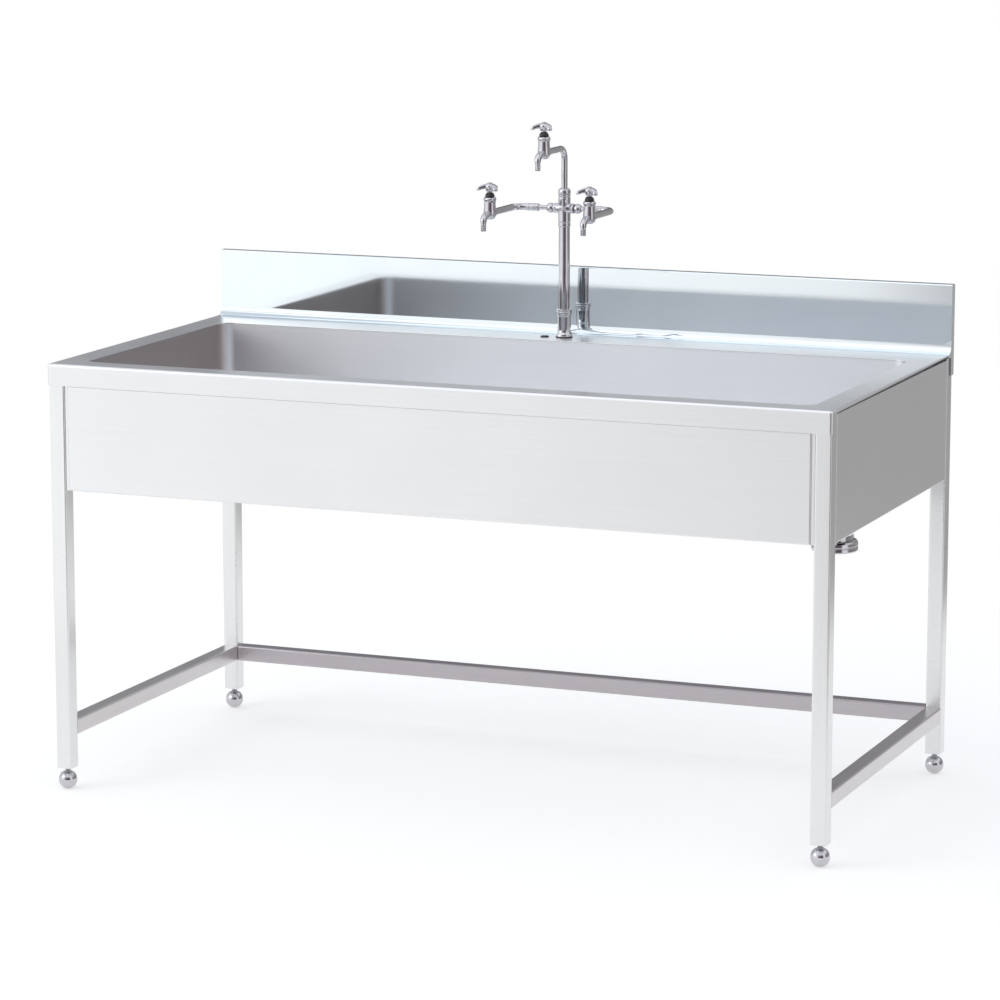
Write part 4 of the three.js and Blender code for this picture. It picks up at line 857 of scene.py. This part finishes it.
# Upper walls, zenith and ground: the sine of the slope where each starts and is full, and its colour
LAYERS = [(0.35, 0.7, (1.07, 1.10, 1.15)), (0.7, 0.95, (0.66, 0.71, 0.79)),
          (-0.25, -0.6, (0.75, 0.74, 0.75))]
studio = walls.outputs["Color"]
for start, full, colour in LAYERS:
    slope = add(sky, "MapRange", {"Value": toward["Z"], "From Min": start, "From Max": full})
    studio = blended(sky, slope.outputs["Result"], studio, colour)
studio_light = add(sky, "Background", {"Color": studio, "Strength": 1.0}).outputs[0]
plain_white = add(sky, "Background", {"Color": (1, 1, 1, 1), "Strength": 1.0}).outputs[0]
from_camera = add(sky, "LightPath").outputs["Is Camera Ray"]
seen = add(sky, "MixShader", {0: from_camera, 1: studio_light, 2: plain_white})
sky.links.new(seen.outputs[0], add(sky, "OutputWorld").inputs["Surface"])
print(len(STOPS), "stops round the studio")

# %% [markdown]
# ### Floor
#
# The floor glows a little, so that it comes up to white where light falls on it and keeps a soft shadow
# under the sink. Further out it fades to pure white, so no edge shows. The camera and the mirrors see it so.
# The light that bounces off it comes from a plain pale paint.

# %% Floor
FLOOR_RADIUS, FLOOR_SIDES, FLOOR_DEPTH = 2.2, 96, 0.001
FADE_START, FADE_END = 1.1, 2.0
SHADOW, GLOW = 0.60, 0.49


def direct_rays(tree):
    """One for rays that come from the camera, off a mirror or through glass, and zero for the rest."""
    rays = add(tree, "LightPath").outputs
    mirrored = add(tree, "Math", {0: rays["Is Glossy Ray"], 1: rays["Is Transmission Ray"]},
                   operation="MAXIMUM").outputs[0]
    return add(tree, "Math", {0: rays["Is Camera Ray"], 1: mirrored}, operation="MAXIMUM").outputs[0]


floor_points = np.column_stack([circle(FLOOR_SIDES) * FLOOR_RADIUS, np.full(FLOOR_SIDES, -FLOOR_DEPTH)])
floor_mesh = bpy.data.meshes.new("floor")
floor_mesh.from_pydata(floor_points.tolist(), [], [list(range(FLOOR_SIDES))])
floor = bpy.data.objects.new("floor", floor_mesh)
scene.collection.objects.link(floor)
print("floor", FLOOR_RADIUS, "m in radius")

# %% Floor paint
floor_paint = bpy.data.materials.new("Pale floor")
floor_paint.use_nodes = True
paint = floor_paint.node_tree
paint.nodes.clear()
matt = add(paint, "BsdfDiffuse", {"Color": (0.86, 0.865, 0.86, 1)}).outputs[0]
veil = add(paint, "BsdfDiffuse", {"Color": (SHADOW, SHADOW, SHADOW, 1)}).outputs[0]
glow = add(paint, "Emission", {"Color": (1, 1, 1, 1), "Strength": GLOW}).outputs[0]
white = add(paint, "Emission", {"Color": (1, 1, 1, 1), "Strength": 1.0}).outputs[0]
spot = add(paint, "TexCoord").outputs["Object"]
distance = add(paint, "VectorMath", {0: spot}, operation="LENGTH").outputs["Value"]
far = add(paint, "MapRange", {"Value": distance, "From Min": FADE_START, "From Max": FADE_END})
shaded = add(paint, "AddShader", {0: veil, 1: glow}).outputs[0]
pale = add(paint, "MixShader", {0: far.outputs["Result"], 1: shaded, 2: white}).outputs[0]
either = add(paint, "MixShader", {0: direct_rays(paint), 1: matt, 2: pale})
paint.links.new(either.outputs[0], add(paint, "OutputMaterial").inputs["Surface"])
floor_mesh.materials.append(floor_paint)
print("shadow share", SHADOW, "and glow", GLOW)

# %% [markdown]
# ### Lamps and camera
#
# Two large soft lamps add a little direction to the world's light: one overhead and one at the left front.
# The camera stands far off with a long lens, which keeps the uprights nearly parallel, as in the photograph.

# %% Lamps
def softbox(name, place, target, size, power):
    """A square soft lamp at a place, turned to face a target."""
    lamp = bpy.data.lights.new(name, "AREA")
    lamp.size = size
    lamp.energy = power
    made = bpy.data.objects.new(name, lamp)
    made.location = place
    aim = np.array(target, float) - np.array(place, float)
    flat = math.hypot(aim[0], aim[1])
    made.rotation_euler = (math.atan2(flat, -aim[2]), 0, math.atan2(-aim[0], aim[1]))
    scene.collection.objects.link(made)
    return made


softbox("overhead", (-0.4, -0.6, 3.4), (0, 0, 0.8), 2.4, 9)
softbox("left_front", (-3.6, -3.2, 2.6), (0, 0, 0.7), 2.0, 30)
print("two soft lamps")

# %% Camera
SENSOR, FOCAL = 36.0, 145.6
CAMERA_AT = (2.7575, -6.846, 1.868)
CAMERA_TILT, CAMERA_HEADING = 79.76, 22.0
lens = bpy.data.cameras.new("camera")
lens.sensor_width = SENSOR
lens.lens = FOCAL
camera = bpy.data.objects.new("camera", lens)
camera.location = CAMERA_AT
camera.rotation_euler = (math.radians(CAMERA_TILT), 0, math.radians(CAMERA_HEADING))
scene.collection.objects.link(camera)
scene.camera = camera
scene.view_settings.view_transform = "Standard"
print("camera at", tuple(camera.location))
